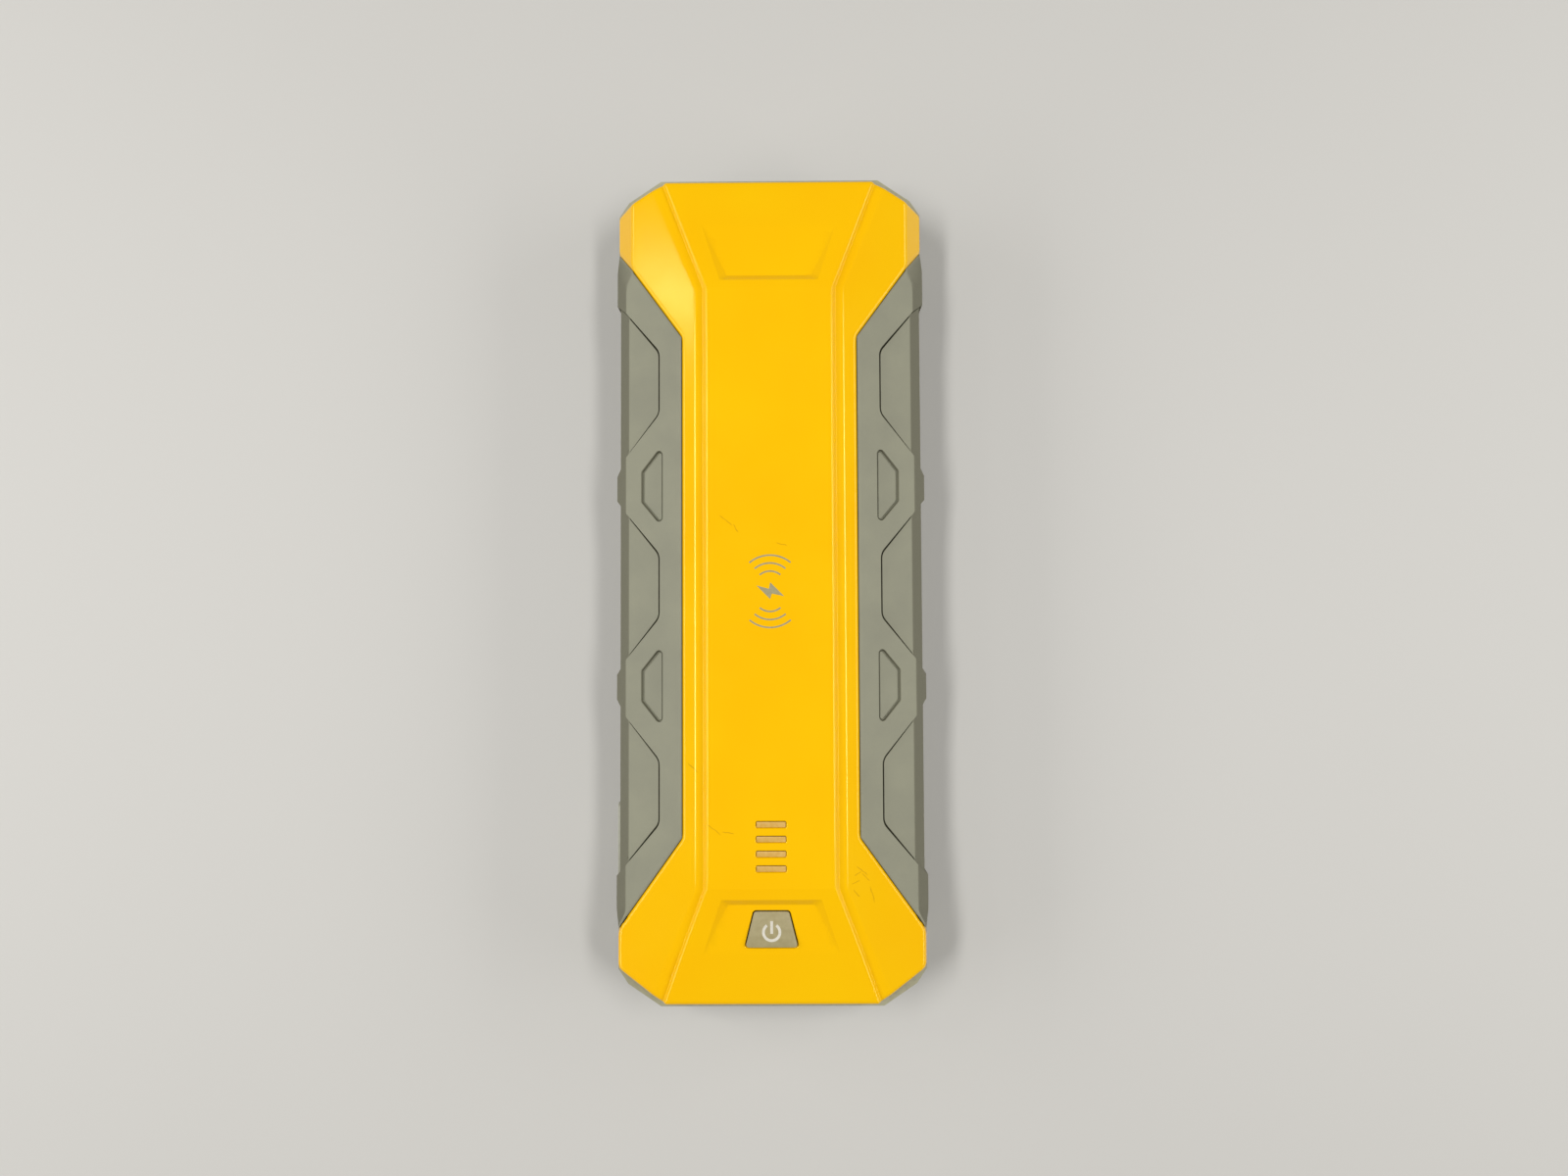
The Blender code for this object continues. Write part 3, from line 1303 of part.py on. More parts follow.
def leads():
    tab_y = CELL_END_Y - CELL_TAB_LENGTH - SEAT_GAP
    tab_z = CELL_LOW_Z + CELL_THICKNESS / 2
    upper_tab_z = tab_z + CELL_PITCH_Z
    tab_x = -CELL_X - CELL_WIDTH / 4 + CELL_TAB_WIDTH / 3
    contact_x = -SEAT_WALL_X + SEAT_GAP + SOCKET_MOUTH_DEPTH + CONTACT_LENGTH + SEAT_GAP
    near = SOCKET_Y + CONTACT_PITCH / 2
    far = SOCKET_Y - CONTACT_PITCH / 2
    lead(
        "battery_lead_negative",
        black_sleeve(),
        [
            (contact_x, near, SOCKET_Z),
            (contact_x + 0.0054, near, SOCKET_Z - 0.0002),
            (contact_x + 0.0079, near + 0.0033, tab_z + 0.0012),
            (contact_x + 0.0044, tab_y - 0.0072, tab_z - 0.0003),
            (tab_x + 0.0006, tab_y - 0.0042, tab_z),
            (tab_x, tab_y, tab_z),
        ],
        BATTERY_LEAD_RADIUS,
        points=24,
    )
    lead(
        "battery_lead_positive",
        red_sleeve(),
        [
            (contact_x, far, SOCKET_Z),
            (contact_x + 0.0079, far, SOCKET_Z + 0.0002),
            (contact_x + 0.0129, far + 0.0061, SOCKET_Z + 0.0014),
            (contact_x + 0.0094, tab_y - 0.0087, upper_tab_z - 0.0021),
            (tab_x + 0.0015, tab_y - 0.0042, upper_tab_z),
            (tab_x, tab_y, upper_tab_z),
        ],
        BATTERY_LEAD_RADIUS,
        points=24,
    )
    coil_end_y = COIL_Y - COIL_BOARD_HALF_Y - SEAT_GAP
    board_z = coil_top_z() - COIL_THICKNESS - FERRITE_THICKNESS - 2 * SEAT_GAP - COIL_BOARD_THICKNESS / 2
    landing_z = BOARD_TOP_Z + SEAT_GAP
    coil_landing_y = BOARD_HIGH_Y - 0.0030
    lead(
        "coil_lead",
        white_sleeve(),
        [
            (0.0060, coil_end_y, board_z),
            (0.0060, coil_end_y - 0.0060, board_z - 0.0003),
            (0.0090, coil_landing_y + 0.0270, board_z - 0.0019),
            (0.0120, coil_landing_y + 0.0110, board_z - 0.0032),
            (0.0120, coil_landing_y + 0.0010, board_z - 0.0047),
            (0.0120, coil_landing_y, landing_z + 0.0015),
            (0.0120, coil_landing_y, landing_z),
        ],
        TWIN_LEAD_RADIUS,
        points=30,
    )
    torch_y = BASE_END_Y - 2 * SEAT_GAP - LENS_THICKNESS - REFLECTOR_DEPTH
    torch_y -= 2 * SEAT_GAP + TORCH_BOARD_THICKNESS
    torch_landing_y = BOARD_HIGH_Y - 0.0075
    far_cell_y = CELL_MIDDLE_Y + CELL_LENGTH / 2
    lead(
        "torch_lead",
        black_sleeve(),
        [
            (0.0030, torch_y, TORCH_Z),
            (0.0030, torch_y - 0.0040, TORCH_Z),
            (0.0120, torch_y - 0.0174, TORCH_Z + 0.0048),
            (0.0235, far_cell_y + 0.0060, CELL_TOP_Z + 0.0020),
            (0.0255, far_cell_y - 0.0100, CELL_TOP_Z + 0.0028),
            (0.0255, CELL_END_Y + 0.0080, CELL_TOP_Z + 0.0028),
            (0.0240, CELL_END_Y - 0.0080, CELL_TOP_Z + 0.0024),
            (0.0200, torch_landing_y + 0.0010, landing_z + 0.0033),
            (0.0200, torch_landing_y, landing_z + 0.0015),
            (0.0200, torch_landing_y, landing_z),
        ],
        TWIN_LEAD_RADIUS,
        points=54,
    )


# ---------------------------------------------------------------- build


def build():
    for old in list(bpy.data.objects):
        bpy.data.objects.remove(old, do_unlink=True)
    front_cover()
    base_shell()
    side_grip("left_grip", -1)
    side_grip("right_grip", 1)
    power_button()
    push_switch()
    light_guide()
    port_cover()
    flap_anchor()
    jump_socket()
    usb_port("usb_a", USB_A_X, USB_A_WIDTH, USB_A_HEIGHT, USB_A_DEPTH, USB_A_TONGUE)
    usb_port("usb_c", USB_C_X, USB_C_WIDTH, USB_C_HEIGHT, USB_C_DEPTH, USB_C_TONGUE)
    rubber_feet()
    case_screws()
    main_board()
    battery()
    charging_coil()
    torch()
    leads()


build()
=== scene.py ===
"""Looks for the jump starter pack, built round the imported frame.

Frame: +X right, +Y towards the torch end, +Z out of the yellow panel; metres.
Shape functions work in millimetres and are turned to metres when a mesh is made.
"""

import json
import math

import bmesh
import bpy
import numpy as np
from mathutils import Euler, Matrix, Vector
from mathutils.geometry import delaunay_2d_cdt
from mathutils.kdtree import KDTree

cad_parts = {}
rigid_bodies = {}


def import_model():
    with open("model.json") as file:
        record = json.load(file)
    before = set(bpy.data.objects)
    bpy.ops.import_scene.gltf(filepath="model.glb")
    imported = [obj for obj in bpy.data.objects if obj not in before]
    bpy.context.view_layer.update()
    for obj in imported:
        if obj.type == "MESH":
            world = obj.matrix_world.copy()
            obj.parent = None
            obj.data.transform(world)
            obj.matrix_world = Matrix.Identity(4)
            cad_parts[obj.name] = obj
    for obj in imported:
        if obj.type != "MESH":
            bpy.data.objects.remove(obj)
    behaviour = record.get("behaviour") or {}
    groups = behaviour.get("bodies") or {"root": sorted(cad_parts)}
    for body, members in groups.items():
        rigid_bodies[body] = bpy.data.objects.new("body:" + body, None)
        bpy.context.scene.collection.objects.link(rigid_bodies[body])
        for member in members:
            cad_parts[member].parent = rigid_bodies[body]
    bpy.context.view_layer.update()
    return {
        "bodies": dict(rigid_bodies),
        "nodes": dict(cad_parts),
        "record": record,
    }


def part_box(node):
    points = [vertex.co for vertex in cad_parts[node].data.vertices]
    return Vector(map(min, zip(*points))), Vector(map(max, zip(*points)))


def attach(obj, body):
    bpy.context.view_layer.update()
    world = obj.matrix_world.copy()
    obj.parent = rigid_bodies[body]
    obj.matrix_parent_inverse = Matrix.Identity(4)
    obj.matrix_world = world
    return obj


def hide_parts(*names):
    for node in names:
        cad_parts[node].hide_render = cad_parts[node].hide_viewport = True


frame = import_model()
MM = 0.001

# ---------------------------------------------------------------- sizes, in millimetres

PANEL_Z = 35.0
PARTING_Z = 21.0
PANEL_HALF = 17.4
SHOULDER_SLOPE = 0.32
BEND_Y = 82.0
END_SLOPE = 0.14
WALL_LEAN = 0.14
COVER_FOOT_Z = PARTING_Z + 0.15
SHELL_WALL = 1.5

WAIST_HALF = 24.2
WAIST_END_Y = 68.8
HEAD_HALF = 43.2
HEAD_START_Y = 95.6
HEAD_CORNER_Y = 105.2
BUTTON_CORNER_Y = 103.6
END_EDGE_HALF = 29.0
END_EDGE_Y = 113.2
HEAD_CREASE_X = 38.6
BUTTON_EDGE_X = 42.3
PANEL_BLEND = 0.03
SIDE_BLEND = 0.55
BUTTON_SIDE_BLEND = 0.9
CORNER_BLEND = 0.25
END_BLEND = 0.9
WAIST_BLEND = 0.6
RIM_BLEND = 1.1

GROOVE_X = 18.3
GROOVE_END_X = 30.0
GROOVE_DEPTH = 0.9
GROOVE_INNER = 0.9
GROOVE_OUTER = 2.0
GROOVE_SPREAD = 0.04
INNER_EDGE_BLEND = 0.5
OUTER_EDGE_BLEND = 0.26
GROOVE_FLOOR_BLEND = 0.15
GROOVE_FLARE = (GROOVE_END_X - GROOVE_X) / (END_EDGE_Y - BEND_Y)

FIELD_START_Y = 84.15
BUTTON_FIELD_START_Y = 85.0
FIELD_START_HALF = 13.6
FIELD_FADE_Y = 100.0
FIELD_FADE_HALF = 18.6
FIELD_DEPTH = 1.2
FIELD_WALL_SLOPE = 0.7
FIELD_SIDE_SLOPE = 0.45
FIELD_FLOOR_BLEND = 0.1
FIELD_TOP_BLEND = 0.05

STRETCH_FROM_Y = 100.0
BUTTON_END_STRETCH = 1.057

GRIP_CREASE_X = 40.3
GRIP_WALL_X = 44.0
HOLLOW_CREASE_X = 39.5
HOLLOW_WALL_X = 43.0
GRIP_FOOT_Z = 19.0
GRIP_BOTTOM_Z = 6.0
GRIP_SKIN = 0.9
GRIP_FILLET = 0.8
GRIP_GAP = 0.16
FLUSH_FROM_X = 34.0
TAPER_RUN = 5.0
HOLLOW_DEPTH = 0.6
HOLLOW_INNER_X = 30.7
HOLLOW_SPANS = ((-65.3, -47.8), (-8.8, 8.8), (47.8, 65.3))
HOLLOW_FALL = 1.19
HOLLOW_RADIUS = 4.0
HOLLOW_OVERRUN = 4.0
WINDOW_Y = 27.6
WINDOW_INNER_X = 29.8
WINDOW_OUTER_X = 35.8
WINDOW_INNER_HALF = 11.4
WINDOW_OUTER_HALF = 4.2
WINDOW_DEPTH = 0.8
WINDOW_RADIUS = 1.0
STEP_WIDTH = 0.3
# a seam's middle, half width and depth, measured inwards from the edge of the sunk part
HOLLOW_SEAM = (0.28, 0.42, 1.4)
WINDOW_SEAM = (0.2, 0.3, 0.4)
RIM_WIDTH = 0.8
RIM_DROP = 0.35

BUTTON_TOP = (4.7, -88.4)
BUTTON_BOTTOM = (7.1, -98.0)
BUTTON_RADIUS = 0.7
BUTTON_GAP = 0.3
SLOT_HALF = 4.1
SLOT_HEIGHT = 1.85
SLOT_COUNT = 4
SLOT_FIRST_Y = -64.85
SLOT_PITCH = 3.95
SLOT_MIDDLES = [SLOT_FIRST_Y - SLOT_PITCH * index for index in range(SLOT_COUNT)]
SLOT_RADIUS = 0.45
HOLE_FILLET = 0.28

FLAP_Y = -71.7
FLAP_Z = 12.8
FLAP_HALF = 10.7
FLAP_RADIUS = 1.6
FLAP_RISE = 0.35
ANCHOR_REACH = 4.1
BAY_MARGIN = 0.3
BAY_HALF_HEIGHT = 6.1
FACE_MARGIN = 0.2

WAVE_RADII = (4.35, 6.55, 8.7)
WAVE_WIDTH = 0.45
WAVE_HALF_ANGLE = 40
WAVE_STEPS = 24
UPPER_WAVES_Y = -0.7
LOWER_WAVES_Y = -3.0
BOLT_LEFT = ((-3.67, -0.28), (-0.3, -1.18), (0.05, 0.57))
BOLT_RIGHT = ((0.0, -3.95), (0.45, -2.46), (3.8, -3.18))
POWER_Y = -93.9
POWER_RADIUS = 2.22
POWER_WIDTH = 0.75
POWER_SPAN = (125, 415)
POWER_STEPS = 40
POWER_BAR = (-94.3, -90.9)
INK_HEIGHT = 0.015
INK_ROOT = 0.05

# ---------------------------------------------------------------- colours and shader nodes


def linear(hex_colour):
    """sRGB hex as linear RGBA."""
    channels = [int(hex_colour[i : i + 2], 16) / 255 for i in (0, 2, 4)]
    lifted = [c / 12.92 if c <= 0.04045 else ((c + 0.055) / 1.055) ** 2.4 for c in channels]
    return (*lifted, 1.0)


def add(material, kind, settings=None, **links):
    """One shader node; links name its inputs and give a value or another node's output."""
    node = material.node_tree.nodes.new(kind)
    for name, value in (settings or {}).items():
        setattr(node, name, value)
    for name, value in links.items():
        key = int(name[1:]) if name[0] == "_" else name.replace("_", " ")
        if isinstance(value, bpy.types.NodeSocket):
            material.node_tree.links.new(value, node.inputs[key])
        else:
            node.inputs[key].default_value = value
    return node


def blank(name):
    material = bpy.data.materials.new(name)
    material.use_nodes = True
    material.node_tree.nodes.clear()
    return material


def finish_material(material, shader):
    output = add(material, "ShaderNodeOutputMaterial")
    material.node_tree.links.new(shader.outputs[0], output.inputs["Surface"])
    return material


def place(material):
    """Position in the piece's own frame in millimetres, as a vector output."""
    where = add(material, "ShaderNodeTexCoord").outputs["Object"]
    scaled = add(material, "ShaderNodeVectorMath", {"operation": "SCALE"}, _0=where, Scale=1000.0)
    return scaled.outputs["Vector"]


def noise(material, where, size, detail=3.0, rough=0.55):
    """Noise whose features are about size millimetres across."""
    return add(
        material,
        "ShaderNodeTexNoise",
        Vector=where,
        Scale=1.0 / size,
        Detail=detail,
        Roughness=rough,
    ).outputs["Fac"]


def spread(material, value, low, high, to_low=0.0, to_high=1.0):
    """Maps low..high of a value to another range, clamped."""
    return add(
        material,
        "ShaderNodeMapRange",
        {"clamp": True},
        Value=value,
        From_Min=low,
        From_Max=high,
        To_Min=to_low,
        To_Max=to_high,
    ).outputs["Result"]


def mix(material, factor, first, second):
    made = add(material, "ShaderNodeMix", {"data_type": "RGBA"}, _0=factor, _6=first, _7=second)
    return made.outputs[2]


def maths(material, operation, first, second=0.0):
    made = add(material, "ShaderNodeMath", {"operation": operation}, _0=first, _1=second)
    return made.outputs[0]


def vector_maths(material, operation, first, second, output):
    made = add(material, "ShaderNodeVectorMath", {"operation": operation}, _0=first, _1=second)
    return made.outputs[output]


def bump(material, height, strength, distance):
    """Normal of a surface whose relief is about distance millimetres deep."""
    made = add(material, "ShaderNodeBump", Height=height, Strength=strength, Distance=distance * MM)
    return made.outputs["Normal"]


# ---------------------------------------------------------------- materials


def plain_surface(name, low, high, rough, metallic=0.0, grain=2.0, grain_bump=0.0, ior=1.5, **extra):
    """Principled surface whose tone and gloss drift a little at the grain's size."""
    material = blank(name)
    where = place(material)
    drift = noise(material, where, grain, 4.0)
    tone = mix(material, spread(material, drift, 0.35, 0.65), linear(low), linear(high))
    gloss = spread(material, drift, 0.3, 0.7, rough[0], rough[1])
    sockets = {"Base_Color": tone, "Roughness": gloss, "Metallic": metallic}
    if not metallic:
        sockets["IOR"] = ior
    if grain_bump:
        fine = noise(material, where, grain / 8, 2.0)
        sockets["Normal"] = bump(material, fine, 0.4, grain_bump)
    shader = add(material, "ShaderNodeBsdfPrincipled", **sockets, **extra)
    return finish_material(material, shader)


SCRATCH_WANDER = 0.3
SCRATCH_EDGE = (0.05, 0.2)


def scratches(material, where, marks):
    """Mask of fine scratches; each mark is its middle, its length and its angle in degrees."""
    wander = noise(material, where, 1.2, 2.0)
    total = 0.0
    for middle, length, turn in marks:
        run = Vector((math.cos(math.radians(turn)), math.sin(math.radians(turn)), 0.0))
        away = vector_maths(material, "SUBTRACT", where, middle, "Vector")
        along = vector_maths(material, "DOT_PRODUCT", away, run, "Value")
        across = vector_maths(material, "DOT_PRODUCT", away, (-run.y, run.x, 0.0), "Value")
        across = maths(material, "ADD", across, maths(material, "MULTIPLY", wander, 2 * SCRATCH_WANDER))
        across = maths(material, "ABSOLUTE", maths(material, "SUBTRACT", across, SCRATCH_WANDER))
        along = maths(material, "ABSOLUTE", along)
        body = spread(material, along, length * 0.3, length * 0.5, 1.0, 0.0)
        line = spread(material, across, *SCRATCH_EDGE, 1.0, 0.0)
        total = maths(material, "MAXIMUM", maths(material, "MULTIPLY", body, line), total)
    return total


# middle in millimetres, length and angle of each scratch on the cover
COVER_MARKS = [
    ((-12.0, 17.6, 35.0), 5.0, -38.0),
    ((-9.3, 15.4, 35.0), 3.0, -62.0),
    ((3.2, 11.0, 35.0), 3.4, -15.0),
    ((-21.2, -49.6, 34.0), 4.0, -42.0),
    ((-15.4, -66.1, 35.0), 5.2, -38.0),
    ((-11.6, -67.0, 35.0), 3.6, -8.0),
    ((24.6, -77.6, 33.0), 4.4, -42.0),
    ((23.4, -78.4, 33.0), 2.4, 32.0),
    ((25.6, -79.4, 33.0), 3.4, -48.0),
    ((22.8, -80.6, 33.0), 2.6, 20.0),
    ((23.0, -83.6, 33.0), 3.0, -50.0),
    ((27.4, -84.2, 33.0), 5.0, -76.0),
]


def yellow_abs():
    """Polished-tool ABS: deep even yellow, sharp warm highlights, a few fine scratches."""
    material = blank("yellow_abs_gloss_moulded")
    where = place(material)
    drift = noise(material, where, 30.0, 2.0)
    tone = mix(material, spread(material, drift, 0.3, 0.7), linear("e6ad00"), linear("e6b200"))
    marks = scratches(material, where, COVER_MARKS)
    tone = mix(material, maths(material, "MULTIPLY", marks, 0.5), tone, linear("a6760f"))
    smear = noise(material, where, 14.0, 5.0, 0.7)
    gloss = spread(material, smear, 0.3, 0.75, 0.13, 0.19)
    ripple = noise(material, where, 9.0, 1.0)
    shader = add(
        material,
        "ShaderNodeBsdfPrincipled",
        Base_Color=tone,
        Roughness=gloss,
        IOR=1.53,
        Specular_Tint=linear("fff0a0"),
        Normal=bump(material, ripple, 0.12, 0.05),
    )
    return finish_material(material, shader)


def grip_elastomer():
    """Soft-touch elastomer: dead matt warm grey, finely spark textured, with painted shade darkening the
    walls.
    """
    material = blank("grey_elastomer_overmoulded")
    where = place(material)
    cloud = noise(material, where, 12.0, 4.0)
    tone = mix(material, spread(material, cloud, 0.3, 0.7), linear("7c7b69"), linear("83826e"))
    normal = add(material, "ShaderNodeNewGeometry").outputs["Normal"]
    up = add(material, "ShaderNodeSeparateXYZ", Vector=normal).outputs["Z"]
    # painted shade: the tone falls to 63614e where the surface faces sideways, standing in for the shade on
    # the grip's walls
    tone = mix(material, spread(material, up, 0.35, 0.85), linear("63614e"), tone)
    grain = noise(material, where, 0.25, 2.0)
    shader = add(
        material,
        "ShaderNodeBsdfPrincipled",
        Base_Color=tone,
        Roughness=spread(material, grain, 0.3, 0.7, 0.62, 0.74),
        IOR=1.5,
        Normal=bump(material, grain, 0.35, 0.03),
    )
    return finish_material(material, shader)


def base_abs():
    """Spark-textured ABS: pale olive grey with a fine even grain and a soft sheen."""
    tones = ("929178", "9a987f")
    return plain_surface("grey_abs_spark_textured", *tones, (0.48, 0.58), grain=1.2, grain_bump=0.03)


def button_plastic():
    """Satin ABS: grey-brown, a little glossier than the base."""
    tones = ("90855f", "988d67")
    return plain_surface("grey_brown_abs_satin", *tones, (0.36, 0.46), grain=1.5, grain_bump=0.015)


def frosted_guide():
    """Frosted polycarbonate light bars: tan, a little light passes through."""
    return plain_surface(
        "tan_polycarbonate_frosted",
        "c89b44",
        "cfa550",
        (0.3, 0.4),
        grain=1.0,
        ior=1.58,
        Transmission_Weight=0.12,
    )


def black_rubber():
    """Moulded rubber: near black, matt, slightly mottled."""
    return plain_surface("black_rubber_moulded", "1e1e1e", "2b2b2b", (0.6, 0.75), grain=1.5, grain_bump=0.03)


def grey_rubber():
    """Satin moulded rubber: pale warm grey with a soft sheen."""
    return plain_surface("grey_rubber_moulded", "9e9d8c", "a7a695", (0.45, 0.55), grain=1.5, grain_bump=0.02)


def zinc_steel():
    """Zinc-plated steel: bright bluish grey, soft broad highlights."""
    return plain_surface("steel_zinc_plated", "a9adb2", "c4c7cb", (0.28, 0.42), 1.0, grain=1.0)


def gold_brass():
    """Gold-plated brass: warm and bright with tight highlights."""
    return plain_surface("brass_gold_plated", "cfa64a", "e0bd68", (0.22, 0.32), 1.0, grain=1.0)


def nickel():
    """Rolled nickel strip: warm grey metal with a satin shine."""
    return plain_surface("nickel_strip_rolled", "aaa69a", "c2beb2", (0.28, 0.4), 1.0, grain=1.5)


def laminate():
    """Glass laminate under green solder mask: deep green with an even gloss."""
    return plain_surface("glass_laminate_green_mask", "184b2b", "22613a", (0.3, 0.45), grain=2.0, ior=1.52)


def pouch_foil():
    """Laminated aluminium foil: dull silver with soft patches."""
    return plain_surface("aluminium_pouch_foil", "999da3", "b3b7bc", (0.3, 0.45), 0.8, grain=3.0)


def black_nylon():
    """Moulded nylon: black, satin, faintly grained."""
    return plain_surface("black_nylon_moulded", "17171a", "222226", (0.45, 0.55), grain=1.5, grain_bump=0.02)


def blue_nylon():
    """Moulded nylon: strong blue, satin, faintly grained."""
    return plain_surface("blue_nylon_moulded", "1d4890", "2757a6", (0.42, 0.52), grain=1.5, grain_bump=0.02)


def white_resin():
    """Moulded resin: warm white with a soft gloss."""
    return plain_surface("white_resin_moulded", "dedbcf", "ebe8dd", (0.35, 0.45), grain=1.0)


def mirror_plastic():
    """Vacuum-metallised plastic: near mirror, slightly veiled."""
    return plain_surface("plastic_vacuum_metallised", "dadada", "ececec", (0.08, 0.14), 1.0, grain=3.0)


def clear_lens():
    """Clear polycarbonate: the reflector shows through it."""
    return plain_surface(
        "clear_polycarbonate_polished",
        "eef3f4",
        "f4f8f8",
        (0.04, 0.07),
        grain=4.0,
        ior=1.585,
        Transmission_Weight=1.0,
    )


def ferrite():
    """Pressed ferrite: charcoal, dull, finely speckled."""
    return plain_surface("ferrite_pressed", "252323", "343131", (0.5, 0.65), grain=0.8, grain_bump=0.02)


def copper():
    """Enamelled copper wire: reddish brown metal under a clear coat."""
    return plain_surface("copper_wire_enamelled", "a35a26", "bd7034", (0.28, 0.4), 0.9, grain=0.8)


def foam():
    """Closed-cell foam: dark grey, dead matt and pitted."""
    return plain_surface("foam_closed_cell", "313134", "404044", (0.85, 0.95), grain=0.8, grain_bump=0.08)


def sleeve(name, low, high):
    """Wire sleeve: one soft even colour with a low sheen."""
    return plain_surface(name, low, high, (0.42, 0.55), grain=2.0)


def print_ink():
    """Grey pad-printed ink, flatter than the plastic under it."""
    return plain_surface("grey_ink_pad_printed", "88805d", "928b68", (0.38, 0.48), grain=0.8)


def white_ink():
    """White pad-printed ink, flatter than the button under it."""
    return plain_surface("white_ink_pad_printed", "c0bbac", "c9c4b6", (0.38, 0.48), grain=0.8)


# ---------------------------------------------------------------- relief meshes


def polygon_distance(points, loop):
    """Signed distance to a closed loop, positive inside."""
    loop = np.asarray(loop, float)
    after = np.roll(loop, -1, axis=0)
    nearest = np.full(len(points), 1e9)
    inside = np.zeros(len(points), bool)
    x, y = points[:, 0], points[:, 1]
    for a, b in zip(loop, after):
        run = b - a
        share = ((x - a[0]) * run[0] + (y - a[1]) * run[1]) / max(run @ run, 1e-12)
        share = np.clip(share, 0, 1)
        nearest = np.minimum(nearest, np.hypot(x - a[0] - share * run[0], y - a[1] - share * run[1]))
        if a[1] != b[1]:
            crosses = (a[1] > y) != (b[1] > y)
            inside ^= crosses & (x < a[0] + (y - a[1]) / (b[1] - a[1]) * run[0])
    return np.where(inside, nearest, -nearest)


def smooth_max(a, b, width):
    """The larger of two values, rounded where they are closer than width."""
    h = np.maximum(width - np.abs(a - b), 0) / width
    return np.maximum(a, b) + h * h * width / 4


def smooth_min(a, b, width):
    return -smooth_max(-a, -b, width)


def ease(value):
    """Smooth step from 0 to 1."""
    value = np.clip(value, 0, 1)
    return value * value * (3 - 2 * value)


def sampled(chain, step, closed=False):
    """Points along a chain no further apart than step."""
    chain = [np.asarray(point, float) for point in chain]
    after = chain[1:] + chain[:1] if closed else chain[1:]
    made = []
    for a, b in zip(chain, after):
        count = max(1, math.ceil(np.hypot(*(b - a)) / step))
        made += [a + (b - a) * index / count for index in range(count)]
    return made if closed else made + [chain[-1]]


def inset(loop, distance):
    """Anticlockwise loop moved inwards, corners mitred."""
    loop = np.asarray(loop, float)
    made = []
    for index, here in enumerate(loop):
        before = here - loop[index - 1]
        after = loop[(index + 1) % len(loop)] - here
        before /= np.hypot(*before)
        after /= np.hypot(*after)
        first = np.array([-before[1], before[0]])
        second = np.array([-after[1], after[0]])
        made.append(here + (first + second) / (1 + first @ second) * distance)
    return made


def rounded(loop, radius, steps=5):
    """Loop with every corner turned into an arc."""
    made = []
    for index, point in enumerate(loop):
        here = Vector(point)
        back = (Vector(loop[index - 1]) - here).normalized()
        ahead = (Vector(loop[(index + 1) % len(loop)]) - here).normalized()
        half = back.angle(ahead) / 2
        centre = here + (back + ahead).normalized() * (radius / math.sin(half))
        start = here + back * (radius / math.tan(half)) - centre
        sweep = start.angle_signed(here + ahead * (radius / math.tan(half)) - centre)
        for step in range(steps + 1):
            turn = -sweep * step / steps
            x = start.x * math.cos(turn) - start.y * math.sin(turn)
            y = start.x * math.sin(turn) + start.y * math.cos(turn)
            made.append((centre.x + x, centre.y + y))
    return made


def grid(low, high, step):
    """Evenly spaced plan points between two corners."""
    xs = np.arange(low[0], high[0] + step / 2, step)
    ys = np.arange(low[1], high[1] + step / 2, step)
    return [(x, y) for x in xs for y in ys]


def triangulated(outer, holes, lines, fill, clear):
    """Triangles inside one loop and outside the holes, with edges along every line."""
    points, edges = [], []
    chains = [(outer, True)] + [(hole, True) for hole in holes]
    chains += [(line, False) for line in lines]
    for chain, closed in chains:
        start = len(points)
        points += [tuple(point) for point in chain]
        edges += [(start + i, start + i + 1) for i in range(len(chain) - 1)]
        if closed:
            edges.append((len(points) - 1, start))
    tree = KDTree(len(points))
    for index, point in enumerate(points):
        tree.insert((*point, 0), index)
    tree.balance()
    points += [point for point in fill if tree.find((*point, 0))[2] > clear]
    made = delaunay_2d_cdt([Vector(point) for point in points], edges, [], 0, 1e-4)
    spots = np.array([tuple(vert) for vert in made[0]])
    faces = np.array(made[2])
    middles = spots[faces].mean(axis=1)
    keep = polygon_distance(middles, outer) > 0
    for hole in holes:
        keep &= polygon_distance(middles, hole) < 0
    faces = faces[keep]
    used = np.unique(faces)
    index = np.full(len(spots), -1)
    index[used] = np.arange(len(used))
    return spots[used], index[faces]


NORMAL_STEP = 0.004


def relief_piece(name, spots, faces, surface, inner, material, flip=False):
    """Closed skin: an outer surface with true normals, an inner copy and a rim between them.

    surface maps (u, v) arrays to millimetre positions; inner maps outer positions and normals
    to the inner copy.
    """
    outer = surface(spots)
    across = surface(spots + (NORMAL_STEP, 0)) - surface(spots - (NORMAL_STEP, 0))
    along = surface(spots + (0, NORMAL_STEP)) - surface(spots - (0, NORMAL_STEP))
    normals = np.cross(across, along)
    if flip:
        normals = -normals
        faces = faces[:, ::-1]
    normals /= np.linalg.norm(normals, axis=1)[:, None]
    hidden = inner(outer, normals)
    count = len(spots)
    sides = {}
    for a, b, c in faces:
        for start, end in ((a, b), (b, c), (c, a)):
            sides[(start, end)] = True
    rim = [(a, b) for a, b in sides if (b, a) not in sides]
    every = [tuple(face) for face in faces]
    every += [(c + count, b + count, a + count) for a, b, c in faces]
    every += [(b, a, a + count, b + count) for a, b in rim]
    mesh = bpy.data.meshes.new(name)
    mesh.from_pydata((np.vstack([outer, hidden]) * MM).tolist(), [], every)
    mesh.shade_smooth()
    loop_normals = []
    both = np.vstack([normals, -normals])
    for polygon in mesh.polygons:
        if len(polygon.vertices) == 4:
            loop_normals += [polygon.normal.copy()] * 4
        else:
            loop_normals += [both[vertex] for vertex in polygon.vertices]
    mesh.normals_split_custom_set(loop_normals)
    mesh.materials.append(material)
    made = bpy.data.objects.new(name, mesh)
    bpy.context.scene.collection.objects.link(made)
    return made


